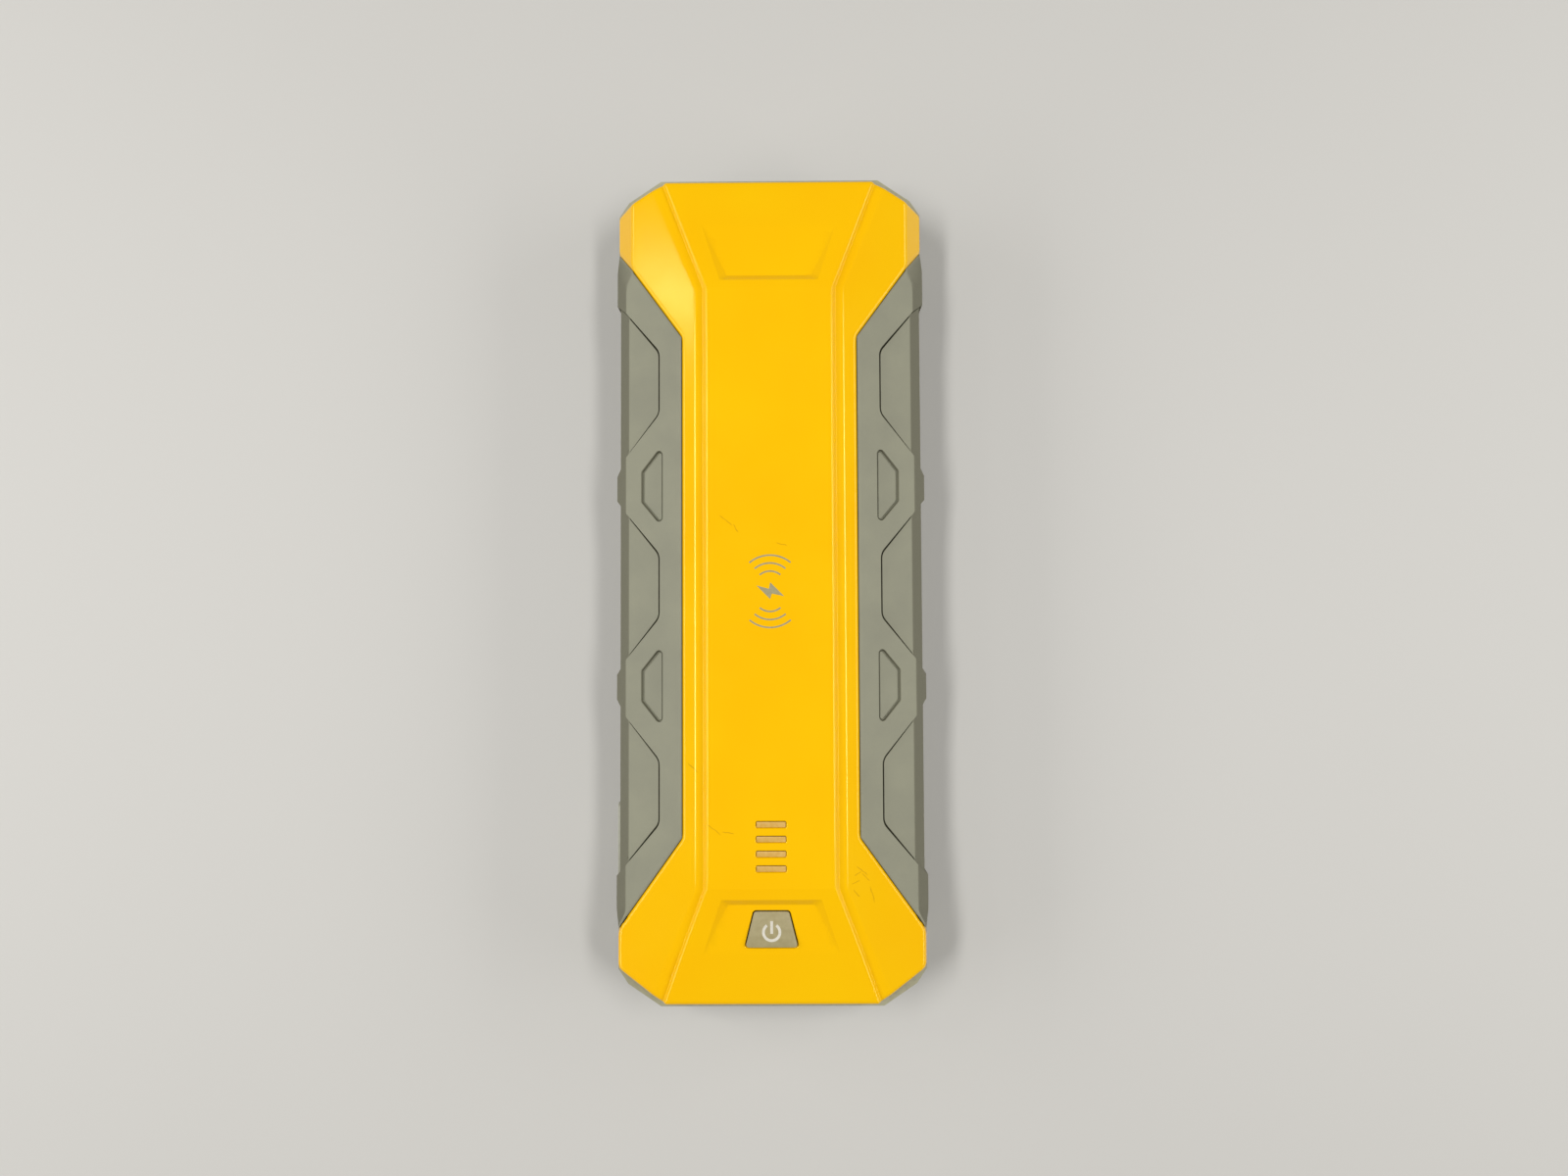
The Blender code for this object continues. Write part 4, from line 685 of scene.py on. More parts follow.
# ---------------------------------------------------------------- front cover


def shoulder_z(x):
    return PANEL_Z - SHOULDER_SLOPE * (np.abs(x) - PANEL_HALF)


def end_z(y):
    return PANEL_Z - END_SLOPE * (np.abs(y) - BEND_Y)


def corner_normal(corner_y):
    """Plan normal of the cut across a head's corner, which starts on the side at corner_y."""
    cut = np.array([END_EDGE_Y - corner_y, HEAD_HALF - END_EDGE_HALF])
    return cut / np.hypot(*cut)


DIAGONAL = np.array([HEAD_HALF - WAIST_HALF, HEAD_START_Y - WAIST_END_Y])
DIAGONAL_NORMAL = np.array([DIAGONAL[1], -DIAGONAL[0]]) / math.hypot(*DIAGONAL)
SIDE_FALL = shoulder_z(HEAD_CREASE_X) - PARTING_Z
SIDE_RUN = HEAD_HALF - HEAD_CREASE_X
BUTTON_SIDE_LEAN = (HEAD_HALF - BUTTON_EDGE_X) / (shoulder_z(BUTTON_EDGE_X) - PARTING_Z)


def outline_distance(x, y):
    """Plan distance outside the waist and the diagonals."""
    waist = x - WAIST_HALF
    diagonal = DIAGONAL_NORMAL[0] * (x - WAIST_HALF) + DIAGONAL_NORMAL[1] * (y - WAIST_END_Y)
    return smooth_min(waist, diagonal, WAIST_BLEND)


def cover_distance(x, y, z, button_end):
    """About the distance outside the plain faceted cover, at |x| and |y|.

    The torch end's heads have a sloping side facet, the button end's a steep wall.
    """
    shoulder = (z - shoulder_z(x)) / math.hypot(1, SHOULDER_SLOPE)
    body = smooth_max(z - PANEL_Z, shoulder, PANEL_BLEND)
    body = smooth_max(body, (z - end_z(y)) / math.hypot(1, END_SLOPE), PANEL_BLEND)
    crease_z = shoulder_z(HEAD_CREASE_X)
    side = SIDE_FALL * (x - HEAD_CREASE_X) + SIDE_RUN * (z - crease_z)
    side = side / math.hypot(SIDE_FALL, SIDE_RUN)
    steep = x - HEAD_HALF + BUTTON_SIDE_LEAN * (z - PARTING_Z)
    steep = steep / math.hypot(1, BUTTON_SIDE_LEAN)
    blend = np.where(button_end, BUTTON_SIDE_BLEND, SIDE_BLEND)
    body = smooth_max(body, np.where(button_end, steep, side), blend)
    torch_cut, button_cut = corner_normal(HEAD_CORNER_Y), corner_normal(BUTTON_CORNER_Y)
    cut_x, cut_y = np.where(button_end, button_cut[:, None], torch_cut[:, None])
    corner = cut_x * (x - END_EDGE_HALF) + cut_y * (y - END_EDGE_Y)
    walls = smooth_max(y - END_EDGE_Y, corner, CORNER_BLEND) + WALL_LEAN * (z - end_z(END_EDGE_Y))
    body = smooth_max(body, walls / math.hypot(1, WALL_LEAN), END_BLEND)
    return smooth_max(body, outline_distance(x, y), RIM_BLEND)


def groove_relief(x, y):
    """Depth of the V groove that follows the panel's edges and runs out to the corners."""
    line = GROOVE_X + GROOVE_FLARE * np.maximum(y - BEND_Y, 0)
    across = x - line
    inner = (across + GROOVE_INNER) / GROOVE_INNER * GROOVE_DEPTH
    reach = GROOVE_OUTER + GROOVE_SPREAD * np.maximum(y - BEND_Y, 0)
    outer = (reach - across) / reach * GROOVE_DEPTH
    blend = np.where(across < 0, INNER_EDGE_BLEND, OUTER_EDGE_BLEND)
    return smooth_max(smooth_min(inner, outer, GROOVE_FLOOR_BLEND), 0, blend)


def field_shape(y, start_y):
    """Half width of an end's sunk field, and the depth of its rising floor, at y."""
    share = (y - start_y) / (FIELD_FADE_Y - start_y)
    return FIELD_START_HALF + (FIELD_FADE_HALF - FIELD_START_HALF) * share, FIELD_DEPTH * (1 - share)


def field_relief(x, y, start_y):
    """Depth of the field: walls of one slope down to a floor that rises to the surface."""
    half, deep = field_shape(y, start_y)
    side, end = (half - x) * FIELD_SIDE_SLOPE, (y - start_y) * FIELD_WALL_SLOPE
    wall = smooth_min(side, end, FIELD_FLOOR_BLEND)
    return smooth_max(smooth_min(wall, deep, FIELD_FLOOR_BLEND), 0, FIELD_TOP_BLEND)


def button_loop(grow):
    half_top, top_y = BUTTON_TOP
    half_bottom, bottom_y = BUTTON_BOTTOM
    corners = [(half_bottom, bottom_y), (half_top, top_y), (-half_top, top_y), (-half_bottom, bottom_y)]
    return rounded(inset(corners, -grow), BUTTON_RADIUS + grow)


def slot_loop(middle):
    low, high = middle - SLOT_HEIGHT / 2, middle + SLOT_HEIGHT / 2
    corners = [(SLOT_HALF, low), (SLOT_HALF, high), (-SLOT_HALF, high), (-SLOT_HALF, low)]
    return rounded(corners, SLOT_RADIUS)


COVER_HOLES = [button_loop(BUTTON_GAP)] + [slot_loop(middle) for middle in SLOT_MIDDLES]

BISECTIONS = 44
SEARCH_BELOW = 12.0
SEARCH_ABOVE = 1.0


def cover_height(x, y, button_end):
    """Height of the faceted cover, found by halving the space between two heights."""
    low = np.full(len(x), PARTING_Z - SEARCH_BELOW)
    high = np.full(len(x), PANEL_Z + SEARCH_ABOVE)
    for _ in range(BISECTIONS):
        middle = (low + high) / 2
        outside = cover_distance(x, y, middle, button_end) > 0
        high = np.where(outside, middle, high)
        low = np.where(outside, low, middle)
    return (low + high) / 2


# the part of the cover that holds every hole and its fillet
HOLES_HALF = 12.0
HOLES_HIGH_Y = -60.0
HOLES_LOW_Y = -103.0


def cover_surface(spots):
    """Outer skin of the cover over plan points, with its grooves, fields and filleted holes."""
    x, y = np.abs(spots[:, 0]), np.abs(spots[:, 1])
    button_end = spots[:, 1] < 0
    beyond = button_end & (y > STRETCH_FROM_Y)
    y = np.where(beyond, STRETCH_FROM_Y + (y - STRETCH_FROM_Y) / BUTTON_END_STRETCH, y)
    start_y = np.where(button_end, BUTTON_FIELD_START_Y, FIELD_START_Y)
    z = cover_height(x, y, button_end) - groove_relief(x, y) - field_relief(x, y, start_y)
    near = (x < HOLES_HALF) & (spots[:, 1] < HOLES_HIGH_Y) & (spots[:, 1] > HOLES_LOW_Y)
    if near.any():
        drop = np.zeros(near.sum())
        for hole in COVER_HOLES:
            reach = np.clip(1 + polygon_distance(spots[near], hole) / HOLE_FILLET, 0, 1)
            drop = np.maximum(drop, HOLE_FILLET * (1 - np.sqrt(1 - reach**2)))
        z[near] -= drop
    return np.column_stack([spots, z])


def head_outline(corner_y):
    """Quarter of the cover's outline where it ends, just above the base."""
    lean = WALL_LEAN * (end_z(END_EDGE_Y) - COVER_FOOT_Z)
    side_x = HEAD_CREASE_X + SIDE_RUN * (shoulder_z(HEAD_CREASE_X) - COVER_FOOT_Z) / SIDE_FALL
    end_y = END_EDGE_Y + lean
    across, along = corner_normal(corner_y)
    corner = across * END_EDGE_HALF + along * END_EDGE_Y + lean
    start_y = HEAD_START_Y + (side_x - HEAD_HALF) * DIAGONAL[1] / DIAGONAL[0]
    return [
        (WAIST_HALF, WAIST_END_Y),
        (side_x, start_y),
        (side_x, (corner - across * side_x) / along),
        ((corner - along * end_y) / across, end_y),
    ]


def cover_loop():
    """Whole outline of the cover, anticlockwise, with the button end stretched."""
    upper = head_outline(HEAD_CORNER_Y)
    lower = []
    for x, y in head_outline(BUTTON_CORNER_Y):
        lower.append((x, -y - max(y - STRETCH_FROM_Y, 0) * (BUTTON_END_STRETCH - 1)))
    left = [(-x, y) for x, y in reversed(upper)] + [(-x, y) for x, y in lower]
    return upper + left + lower[::-1]


# mesh lines beside each kind of edge, as offsets from it, and the spacing of mesh points
RIM_RINGS = (0.03, 0.08, 0.16, 0.3, 0.5, 0.75, 1.0, 1.2, 1.35, 1.5, 1.75, 2.1)
GROOVE_INNER_LINES = (-1.5, -1.3, -1.1, -0.9, -0.7, -0.5, -0.3, -0.12, 0.0, 0.12)
GROOVE_OUTER_LINES = (1.0, 1.45, 1.7, 1.9, 2.1, 2.3, 2.55)
CREASE_LINES = (-0.85, -0.55, -0.25, 0.0, 0.25, 0.55, 0.85)
CREASE_SPAN = (89.0, 108.2)
BEND_LINES = (-0.2, 0.0, 0.2)
BEND_LINE_MARGIN = 0.8
FIELD_TOP_LINES = (-0.12, 0.0, 0.12)
FIELD_FOOT_LINES = (-0.14, 0.0, 0.14)
FIELD_FOOT_END = (FIELD_FADE_HALF - 0.3, FIELD_FADE_Y - 0.9)
HOLE_RINGS = (0.04, 0.1, 0.18, 0.29)
LINE_STEP = 1.2
STRAIGHT_STEP = 1.5
CREASE_STEP = 1.0
PROFILE_STEP = 2.0
COVER_FILL_CORNER = (43.0, 115.0)
COVER_FILL_STEP = 2.4
COVER_FILL_CLEAR = 0.28
GRIP_FILL_START = 0.6
GRIP_FILL_STEP = 2.2
GRIP_FILL_CLEAR = 0.3


def trough(end, start, turn):
    """Chain down one side of a field, along its start and back up the other side."""
    chain = [start, turn, (-turn[0], turn[1]), (-start[0], start[1])]
    return sampled([(x, end * y) for x, y in chain], LINE_STEP)


def field_lines(end):
    """Edges of a field: the top of its walls, then where they meet the floor."""
    start_y = FIELD_START_Y if end > 0 else BUTTON_FIELD_START_Y
    lines = []
    for shift in FIELD_TOP_LINES:
        start = (FIELD_FADE_HALF - shift, FIELD_FADE_Y)
        lines.append(trough(end, start, (FIELD_START_HALF - shift, start_y + shift)))
    rise = FIELD_DEPTH / (FIELD_FADE_Y - start_y)
    foot_y = start_y + FIELD_DEPTH / (FIELD_WALL_SLOPE + rise)
    half, deep = field_shape(foot_y, start_y)
    foot = half - deep / FIELD_SIDE_SLOPE
    for shift in FIELD_FOOT_LINES:
        lines.append(trough(end, FIELD_FOOT_END, (foot - shift, foot_y + shift)))
    return lines


def cover_lines():
    """Chains along the creases, so that every edge of the shape has mesh edges on it."""
    lines = []
    outer = cover_loop()
    for distance in RIM_RINGS:
        ring = sampled(inset(outer, distance), LINE_STEP, closed=True)
        lines.append(ring + ring[:1])
    far = END_EDGE_Y + 1.0
    for side in (-1, 1):
        for across in GROOVE_INNER_LINES + GROOVE_OUTER_LINES:
            x = GROOVE_X + across
            flare = GROOVE_FLARE + GROOVE_SPREAD * max(across, 0) / GROOVE_OUTER
            end_x = x + flare * (far - BEND_Y)
            chain = [(side * end_x, -far), (side * x, -BEND_Y), (side * x, BEND_Y), (side * end_x, far)]
            lines.append(sampled(chain, STRAIGHT_STEP))
        for across in CREASE_LINES:
            x = side * (HEAD_CREASE_X + across)
            lines.append(sampled([(x, y) for y in CREASE_SPAN], CREASE_STEP))
    panel = PANEL_HALF - BEND_LINE_MARGIN
    for end in (-1, 1):
        for shift in BEND_LINES:
            y = end * (BEND_Y + shift)
            lines.append(sampled([(-panel, y), (panel, y)], STRAIGHT_STEP))
        lines += field_lines(end)
    for hole in COVER_HOLES:
        for distance in HOLE_RINGS:
            ring = inset(hole, -distance)
            lines.append(ring + ring[:1])
    return lines


def front_cover():
    far_x, far_y = COVER_FILL_CORNER
    fill = grid((-far_x, -far_y), (far_x, far_y), COVER_FILL_STEP)
    outer = sampled(cover_loop(), LINE_STEP, closed=True)
    spots, faces = triangulated(outer, COVER_HOLES, cover_lines(), fill, COVER_FILL_CLEAR)
    centre = np.array([0.0, 0.0, PARTING_Z])
    shrink = 1 - SHELL_WALL / np.array([HEAD_HALF, END_EDGE_Y, PANEL_Z - PARTING_Z])

    def inner(outer_points, normals):
        return centre + (outer_points - centre) * shrink

    cover = relief_piece("visual_front_cover", spots, faces, cover_surface, inner, yellow_abs())
    return adopt(cover, "front_cover")


# ---------------------------------------------------------------- side grips


def filleted(profile, radius, steps=6):
    """Open (x, z) profile with its inner corners turned into curves."""
    made = [np.asarray(profile[0], float)]
    for before, here, after in zip(profile, profile[1:], profile[2:]):
        here = Vector(here)
        back = (Vector(before) - here).normalized()
        ahead = (Vector(after) - here).normalized()
        reach = radius / math.tan(back.angle(ahead) / 2)
        start = here + back * reach
        end = here + ahead * reach
        for step in range(steps + 1):
            share = step / steps
            spot = start * (1 - share) ** 2 + here * 2 * share * (1 - share) + end * share**2
            made.append(np.array(spot))
    return np.array(made + [np.asarray(profile[-1], float)])


GRIP_START_X = 23.0
GRIP_CORNERS = [
    (GRIP_START_X, shoulder_z(GRIP_START_X)),
    (GRIP_CREASE_X, shoulder_z(GRIP_CREASE_X)),
    (GRIP_WALL_X, GRIP_FOOT_Z),
    (GRIP_WALL_X, GRIP_BOTTOM_Z),
]
GRIP_PROFILE = filleted(GRIP_CORNERS, GRIP_FILLET)
GRIP_ALONG = np.concatenate([[0], np.cumsum(np.hypot(*np.diff(GRIP_PROFILE, axis=0).T))])


def along_of(x, z=None):
    """Distance along the grip's profile: to an X on its shoulder, or to a Z on its wall."""
    if z is None:
        return float(np.interp(x, GRIP_PROFILE[:, 0], GRIP_ALONG))
    return float(np.interp(-z, -GRIP_PROFILE[:, 1], GRIP_ALONG))


CREASE_S = along_of(GRIP_CREASE_X)
FOOT_S = along_of(0, GRIP_FOOT_Z)
BOTTOM_S = float(GRIP_ALONG[-1])
SHOULDER_DROP = HOLLOW_DEPTH * math.hypot(1, SHOULDER_SLOPE)
SINK_S = [0.0, CREASE_S, FOOT_S, BOTTOM_S]
SINK_X = [
    0.0,
    HOLLOW_CREASE_X - GRIP_CREASE_X,
    HOLLOW_WALL_X - GRIP_WALL_X,
    HOLLOW_WALL_X - GRIP_WALL_X,
]
SINK_Z = [
    -SHOULDER_DROP,
    float(shoulder_z(HOLLOW_CREASE_X) - SHOULDER_DROP - shoulder_z(GRIP_CREASE_X)),
    0.0,
    0.0,
]
FLUSH_S = [along_of(FLUSH_FROM_X), CREASE_S, FOOT_S, BOTTOM_S]


def hollow_loops():
    """Sunk panels in unrolled coordinates; they run out over the grip's bottom edge."""
    loops = []
    inner_s = along_of(HOLLOW_INNER_X)
    below_s = BOTTOM_S + HOLLOW_OVERRUN
    to_crease = (GRIP_CREASE_X - HOLLOW_INNER_X) * HOLLOW_FALL
    to_wall = (GRIP_WALL_X - HOLLOW_INNER_X) * HOLLOW_FALL
    for low_y, high_y in HOLLOW_SPANS:
        low_crease, high_crease = (CREASE_S, low_y - to_crease), (CREASE_S, high_y + to_crease)
        corners = rounded([low_crease, high_crease, (inner_s, high_y), (inner_s, low_y)], HOLLOW_RADIUS)
        nose = corners[len(corners) // 2 :]
        low_side = [low_crease, (FOOT_S, low_y - to_wall), (below_s, low_y - to_wall)]
        high_side = [(below_s, high_y + to_wall), (FOOT_S, high_y + to_wall), high_crease]
        loops.append(high_side + nose + low_side)
    return loops


def window_loops():
    """Small sunk windows of the raised diamonds, in unrolled coordinates."""
    loops = []
    inner_s = along_of(WINDOW_INNER_X)
    outer_s = along_of(WINDOW_OUTER_X)
    for middle in (-WINDOW_Y, WINDOW_Y):
        corners = [
            (inner_s, middle - WINDOW_INNER_HALF),
            (outer_s, middle - WINDOW_OUTER_HALF),
            (outer_s, middle + WINDOW_OUTER_HALF),
            (inner_s, middle + WINDOW_INNER_HALF),
        ]
        loops.append(rounded(corners, WINDOW_RADIUS))
    return loops


def diagonal_y(x):
    """Where a grip ends, a gap short of the cover's diagonal edge."""
    return WAIST_END_Y + (x - WAIST_HALF - GRIP_GAP / DIAGONAL_NORMAL[0]) * DIAGONAL[1] / DIAGONAL[0]


def grip_end(edge_x):
    """One end of the grip's outline in unrolled coordinates, from the waist to the wall."""
    start_x = WAIST_HALF + GRIP_GAP
    end_y = HEAD_START_Y - GRIP_GAP
    end = [(along_of(x), diagonal_y(x)) for x in (start_x, FLUSH_FROM_X)]
    return end + [(CREASE_S, diagonal_y(edge_x)), (FOOT_S, end_y), (BOTTOM_S, end_y)]


def flush_shift(s, y, edge_x):
    """Moves that bring a grip's end level with the head beside it, whose edge lies at edge_x."""
    end_s, end_y = zip(*grip_end(edge_x))
    share = ease(1 - (np.interp(s, end_s, end_y) - np.abs(y)) / TAPER_RUN)
    wall = HEAD_HALF - GRIP_WALL_X
    fall = float(shoulder_z(edge_x) - shoulder_z(GRIP_CREASE_X))
    x = np.interp(s, FLUSH_S, [0.0, edge_x - GRIP_CREASE_X, wall, wall])
    return share * x, share * np.interp(s, FLUSH_S, [0.0, fall, PARTING_Z - GRIP_FOOT_Z, 0.0])


GRIP_LOOP = [(s, -y) for s, y in grip_end(BUTTON_EDGE_X)] + grip_end(HEAD_CREASE_X)[::-1]
GRIP_HOLLOWS = hollow_loops()
GRIP_WINDOWS = window_loops()


PROFILE_SPAN = 0.02


def profile_spot(s):
    """Point of the grip's profile, at a distance along it."""
    return np.interp(s, GRIP_ALONG, GRIP_PROFILE[:, 0]), np.interp(s, GRIP_ALONG, GRIP_PROFILE[:, 1])


def profile_normals():
    """Normals of the grip's profile, at each of its points."""
    ahead, behind = profile_spot(GRIP_ALONG + PROFILE_SPAN), profile_spot(GRIP_ALONG - PROFILE_SPAN)
    x, z = ahead[0] - behind[0], ahead[1] - behind[1]
    size = np.hypot(x, z)
    return -z / size, x / size


GRIP_NORMALS = profile_normals()


def grip_press(spots):
    """Depth of the windows, seams and rim fillet, and each point's share of the hollows' sink."""
    hollow = np.max([polygon_distance(spots, loop) for loop in GRIP_HOLLOWS], axis=0)
    window = np.max([polygon_distance(spots, loop) for loop in GRIP_WINDOWS], axis=0)
    press = WINDOW_DEPTH * ease(window / STEP_WIDTH + 0.5)
    for edge, (middle, half, deep) in ((hollow, HOLLOW_SEAM), (window, WINDOW_SEAM)):
        seam = np.clip(np.abs(edge - middle) / half, 0, 1)
        press = press + deep * (1 - seam**2)
    rim = np.clip(1 - polygon_distance(spots, GRIP_LOOP) / RIM_WIDTH, 0, 1)
    press = press + RIM_DROP * (1 - np.sqrt(1 - np.minimum(rim, 0.999) ** 2))
    return press, ease(hollow / STEP_WIDTH + 0.5)


def grip_surface(side):
    """Outer skin of the grip on one side, over its unrolled points."""

    def surface(spots):
        s, y = spots[:, 0], spots[:, 1]
        press, sink = grip_press(spots)
        x, z = profile_spot(s)
        torch_x, torch_z = flush_shift(s, y, HEAD_CREASE_X)
        button_x, button_z = flush_shift(s, y, BUTTON_EDGE_X)
        x = x + sink * np.interp(s, SINK_S, SINK_X) + np.where(y > 0, torch_x, button_x)
        z = z + sink * np.interp(s, SINK_S, SINK_Z) + np.where(y > 0, torch_z, button_z)
        normal_x, normal_z = (np.interp(s, GRIP_ALONG, part) for part in GRIP_NORMALS)
        return np.column_stack([side * (x - press * normal_x), y, z - press * normal_z])

    return surface


SEAM_RINGS = (-0.19, -0.11, -0.03, 0.06, 0.15, 0.24, 0.33, 0.42, 0.51, 0.6, 0.67, 0.74)
GRIP_RIM_RINGS = (0.03, 0.1, 0.22, 0.4, 0.62, 0.88)
GRIP_FAR_Y = 95.0


def grip_lines():
    """Chains beside the seams, round the rim and along the profile's fillets."""
    lines = []
    for distance in SEAM_RINGS:
        lines += [sampled(inset(loop, distance), LINE_STEP) for loop in GRIP_HOLLOWS]
        for loop in GRIP_WINDOWS:
            ring = inset(loop, distance)
            lines.append(sampled(ring + ring[:1], LINE_STEP))
    for distance in GRIP_RIM_RINGS:
        ring = sampled(inset(GRIP_LOOP, distance), LINE_STEP, closed=True)
        lines.append(ring + ring[:1])
    for s in GRIP_ALONG[1:-1]:
        lines.append(sampled([(s, -GRIP_FAR_Y), (s, GRIP_FAR_Y)], PROFILE_STEP))
    return lines


def flap_bay():
    """Hole in the left grip for the flap and its anchor."""
    low_y = FLAP_Y - FLAP_HALF - BAY_MARGIN
    high_y = FLAP_Y + FLAP_HALF + ANCHOR_REACH
    low_s, high_s = along_of(0, FLAP_Z + BAY_HALF_HEIGHT), along_of(0, FLAP_Z - BAY_HALF_HEIGHT)
    corners = [(low_s, low_y), (high_s, low_y), (high_s, high_y), (low_s, high_y)]
    return rounded(corners, FLAP_RADIUS)


def side_grip(name, side, holes=()):
    outer = sampled(GRIP_LOOP, LINE_STEP, closed=True)
    fill = grid((GRIP_FILL_START, -GRIP_FAR_Y), (BOTTOM_S, GRIP_FAR_Y), GRIP_FILL_STEP)
    spots, faces = triangulated(outer, list(holes), grip_lines(), fill, GRIP_FILL_CLEAR)

    def inner(outer_points, normals):
        return outer_points - normals * GRIP_SKIN

    surface = grip_surface(side)
    grip = relief_piece(f"visual_{name}", spots, faces, surface, inner, grip_elastomer(), flip=side < 0)
    return adopt(grip, name)


# ---------------------------------------------------------------- pieces made from their CAD shapes


def adopt(piece, node):
    """Lets a piece stand for a CAD node and ride on its body."""
    body = next(name for name, empty in frame["bodies"].items() if frame["nodes"][node].parent == empty)
    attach(piece, body)
    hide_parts(node)
    return piece


EDGE_SEGMENTS = 3
EDGE_ANGLE = math.radians(25)


def softened(node, material, width):
    """Copy of a CAD shape with its edges rounded like a moulding's, width in millimetres."""
    source = frame["nodes"][node]
    mesh = source.data.copy()
    mesh.name = f"visual_{node}"
    bm = bmesh.new()
    bm.from_mesh(mesh)
    bmesh.ops.remove_doubles(bm, verts=bm.verts, dist=1e-6)
    bmesh.ops.dissolve_limit(bm, angle_limit=math.radians(1), verts=bm.verts, edges=bm.edges)
    bm.to_mesh(mesh)
    bm.free()
    mesh.materials.clear()
    mesh.materials.append(material)
    mesh.shade_smooth()
    made = bpy.data.objects.new(f"visual_{node}", mesh)
    bpy.context.scene.collection.objects.link(made)
    edge = made.modifiers.new("edges", "BEVEL")
    edge.width = width * MM
    edge.segments = EDGE_SEGMENTS
    edge.limit_method = "ANGLE"
    edge.angle_limit = EDGE_ANGLE
    edge.harden_normals = True
    return adopt(made, node)


def flap():
    """The socket's flap, its face set a little further out of the grip's wall."""
    made = softened("port_cover", grey_rubber(), 0.2)
    face_x = -(HOLLOW_WALL_X + FACE_MARGIN) * MM
    for vertex in made.data.vertices:
        if vertex.co.x < face_x:
            vertex.co.x -= FLAP_RISE * MM
    return made


SLOT_MATERIALS = {
    "gloss_yellow_abs": yellow_abs,
    "textured_grey_abs": base_abs,
    "soft_touch_grip": grip_elastomer,
    "button_plastic": button_plastic,
    "light_guide": frosted_guide,
    "black_rubber": black_rubber,
    "grey_rubber": grey_rubber,
    "steel": zinc_steel,
    "brass": gold_brass,
    "nickel": nickel,
    "laminate": laminate,
    "pouch_foil": pouch_foil,
    "black_nylon": black_nylon,
    "blue_nylon": blue_nylon,
    "white_resin": white_resin,
    "metallised_plastic": mirror_plastic,
    "clear_lens": clear_lens,
    "ferrite": ferrite,
    "enamelled_copper": copper,
    "foam": foam,
    "red_sleeve": lambda: sleeve("red_silicone_sleeve", "a81f18", "bb2c22"),
    "black_sleeve": lambda: sleeve("black_silicone_sleeve", "1b1b1d", "272729"),
    "white_sleeve": lambda: sleeve("white_pvc_sleeve", "cfcdc2", "dcdacf"),
}


def node_slots():
    return {part["node"]: part["material_slot"] for part in frame["record"]["subparts"]}


def carried_nodes():
    """Gives every CAD node its real material."""
    made = {}
    for name, slot in node_slots().items():
        node = frame["nodes"][name]
        if slot not in made:
            made[slot] = SLOT_MATERIALS[slot]()
        node.data.materials.clear()
        node.data.materials.append(made[slot])


# ---------------------------------------------------------------- prints


def bar(bm, left, right, low, high):
    """Flat closed bar between two chains of plan points, from low to high."""
    rings = []
    for a, b in zip(left, right):
        corners = ((*a, low), (*b, low), (*b, high), (*a, high))
        rings.append([bm.verts.new(corner) for corner in corners])
    bm.faces.new(rings[0])
    bm.faces.new(rings[-1])
    for near, far in zip(rings, rings[1:]):
        for index in range(4):
            after = (index + 1) % 4
            bm.faces.new((near[index], near[after], far[after], far[index]))


def printed(name, strokes, surface_z, material, body):
    """Thin ink figure on a flat surface, one bar for each stroke."""
    bm = bmesh.new()
    for left, right in strokes:
        bar(bm, left, right, surface_z - INK_ROOT, surface_z + INK_HEIGHT)
    bmesh.ops.recalc_face_normals(bm, faces=bm.faces)
    bmesh.ops.transform(bm, matrix=Matrix.Scale(MM, 4), verts=bm.verts)
    mesh = bpy.data.meshes.new(name)
    bm.to_mesh(mesh)
    bm.free()
    mesh.materials.append(material)
    made = bpy.data.objects.new(name, mesh)
    bpy.context.scene.collection.objects.link(made)
    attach(made, body)
    return made


def arc_stroke(centre_y, radius, width, start, end, steps):
    """Arc of one width round a centre on the Y axis, in degrees anticlockwise from +X."""
    turns = [math.radians(start + (end - start) * step / steps) for step in range(steps + 1)]
    rims = []
    for reach in (radius - width / 2, radius + width / 2):
        rims.append([(reach * math.cos(turn), centre_y + reach * math.sin(turn)) for turn in turns])
    return rims


def charging_figure():
    """Waves above and below a bolt, printed where a phone is laid."""
    strokes = [(BOLT_LEFT, BOLT_RIGHT)]
    for radius in WAVE_RADII:
        for centre_y, middle in ((UPPER_WAVES_Y, 90), (LOWER_WAVES_Y, 270)):
            span = (middle - WAVE_HALF_ANGLE, middle + WAVE_HALF_ANGLE)
            strokes.append(arc_stroke(centre_y, radius, WAVE_WIDTH, *span, WAVE_STEPS))
    return printed("charging_figure", strokes, PANEL_Z, print_ink(), "case")


def power_symbol():
    """Broken ring and bar on the button's top."""
    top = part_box("power_button")[1].z / MM
    half = POWER_WIDTH / 2
    ring = arc_stroke(POWER_Y, POWER_RADIUS, POWER_WIDTH, *POWER_SPAN, POWER_STEPS)
    stem = ([(-half, y) for y in POWER_BAR], [(half, y) for y in POWER_BAR])
    return printed("power_symbol", [ring, stem], top, white_ink(), "power_button")


# ---------------------------------------------------------------- studio


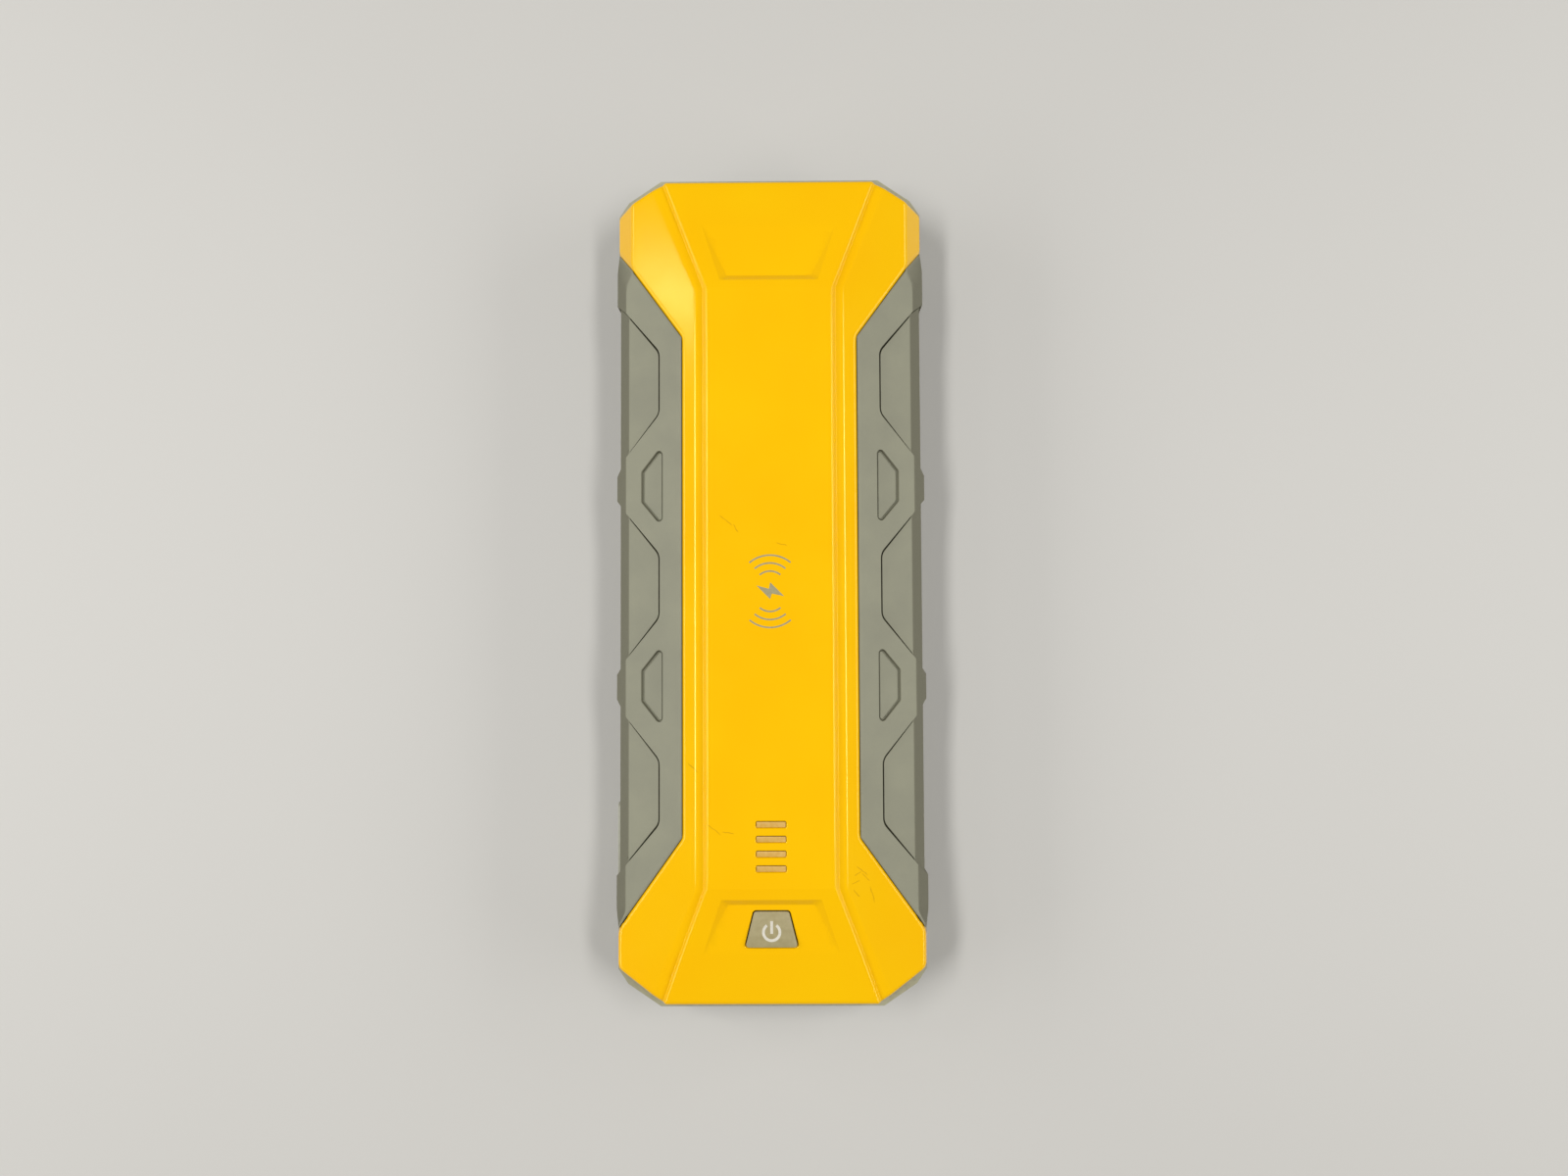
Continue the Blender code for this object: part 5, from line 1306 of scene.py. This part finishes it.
# metres, watts and degrees; the lens and its sensor are in millimetres
FLOOR_HALF = 3.0
AIM = (0, 0, 0.02)
STRIP_SIZE = (0.62, 0.12)
STRIP_X = 0.45
STRIP_Y = 0.05
STRIP_Z = 1.0
STRIP_WATTS = {"left": 5.7, "right": 4.4}
SIDE_BOX_SIZE = (1.0, 0.3)
SIDE_BOX_X = 0.82
SIDE_BOX_Z = 0.42
SIDE_BOX_WATTS = 4.0
GLOW_SPOT = (-0.82, 0.44, 0.94)
GLOW_SIZE = (0.08, 0.12)
GLOW_WATTS = 0.36
WORLD_COLOUR = (1.0, 0.98, 0.95, 1.0)
WORLD_STRENGTH = 0.2
LENS_LENGTH = 27.05
SENSOR_WIDTH = 36.0
CAMERA_SPOT = (0.0059, -0.0157, 0.3551)
CAMERA_TURN = (2.63, 0.39, -0.28)


def floor():
    """Pale seamless floor, a little uneven in tone like painted board."""
    material = plain_surface("studio_board_pale", "b7b5b0", "b9b7b2", (0.6, 0.7), grain=400.0)
    mesh = bpy.data.meshes.new("studio_floor")
    corners = [(FLOOR_HALF * x, FLOOR_HALF * y, 0) for x, y in ((-1, -1), (1, -1), (1, 1), (-1, 1))]
    mesh.from_pydata(corners, [], [(0, 1, 2, 3)])
    mesh.materials.append(material)
    made = bpy.data.objects.new("studio_floor", mesh)
    bpy.context.scene.collection.objects.link(made)


def softbox(name, spot, size, watts):
    """Rectangular light aimed at the object; off to the side, the first size runs along Y."""
    light = bpy.data.lights.new(name, "AREA")
    light.shape = "RECTANGLE"
    light.size, light.size_y = size
    light.energy = watts
    made = bpy.data.objects.new(name, light)
    made.location = spot
    made.rotation_euler = (Vector(AIM) - Vector(spot)).to_track_quat("-Z", "Y").to_euler()
    bpy.context.scene.collection.objects.link(made)


def studio():
    """Two strips that draw the ridges, a box on each side for the rims, and a small glow."""
    world = bpy.data.worlds.new("studio")
    world.use_nodes = True
    back = world.node_tree.nodes["Background"]
    back.inputs["Color"].default_value = WORLD_COLOUR
    back.inputs["Strength"].default_value = WORLD_STRENGTH
    bpy.context.scene.world = world
    for name, side in (("left", -1), ("right", 1)):
        softbox(f"{name}_strip", (side * STRIP_X, STRIP_Y, STRIP_Z), STRIP_SIZE, STRIP_WATTS[name])
        softbox(f"{name}_side_box", (side * SIDE_BOX_X, 0.0, SIDE_BOX_Z), SIDE_BOX_SIZE, SIDE_BOX_WATTS)
    softbox("glow_softbox", GLOW_SPOT, GLOW_SIZE, GLOW_WATTS)


def camera():
    """The photo's view, from almost straight above."""
    bpy.context.scene.view_settings.view_transform = "Standard"
    lens = bpy.data.cameras.new("camera")
    lens.lens = LENS_LENGTH
    lens.sensor_width = SENSOR_WIDTH
    lens.clip_start = 0.01
    made = bpy.data.objects.new("camera", lens)
    made.location = CAMERA_SPOT
    made.rotation_euler = Euler([math.radians(angle) for angle in CAMERA_TURN])
    bpy.context.scene.collection.objects.link(made)
    bpy.context.scene.camera = made


# ---------------------------------------------------------------- build


def build():
    carried_nodes()
    front_cover()
    side_grip("left_grip", -1, [flap_bay()])
    side_grip("right_grip", 1)
    softened("base_shell", base_abs(), 0.35)
    softened("power_button", button_plastic(), 0.25)
    flap()
    softened("port_cover_anchor", grey_rubber(), 0.2)
    softened("light_guide", frosted_guide(), 0.12)
    softened("torch_lens", clear_lens(), 0.25)
    softened("jump_socket_housing", blue_nylon(), 0.2)
    for shell in ("usb_a_shell", "usb_c_shell"):
        softened(shell, zinc_steel(), 0.08)
    for index in range(1, 5):
        softened(f"rubber_foot_{index}", black_rubber(), 0.4)
    for index in range(1, 7):
        softened(f"case_screw_{index}", zinc_steel(), 0.12)
    charging_figure()
    power_symbol()
    floor()
    studio()
    camera()


build()
bpy.context.view_layer.update()
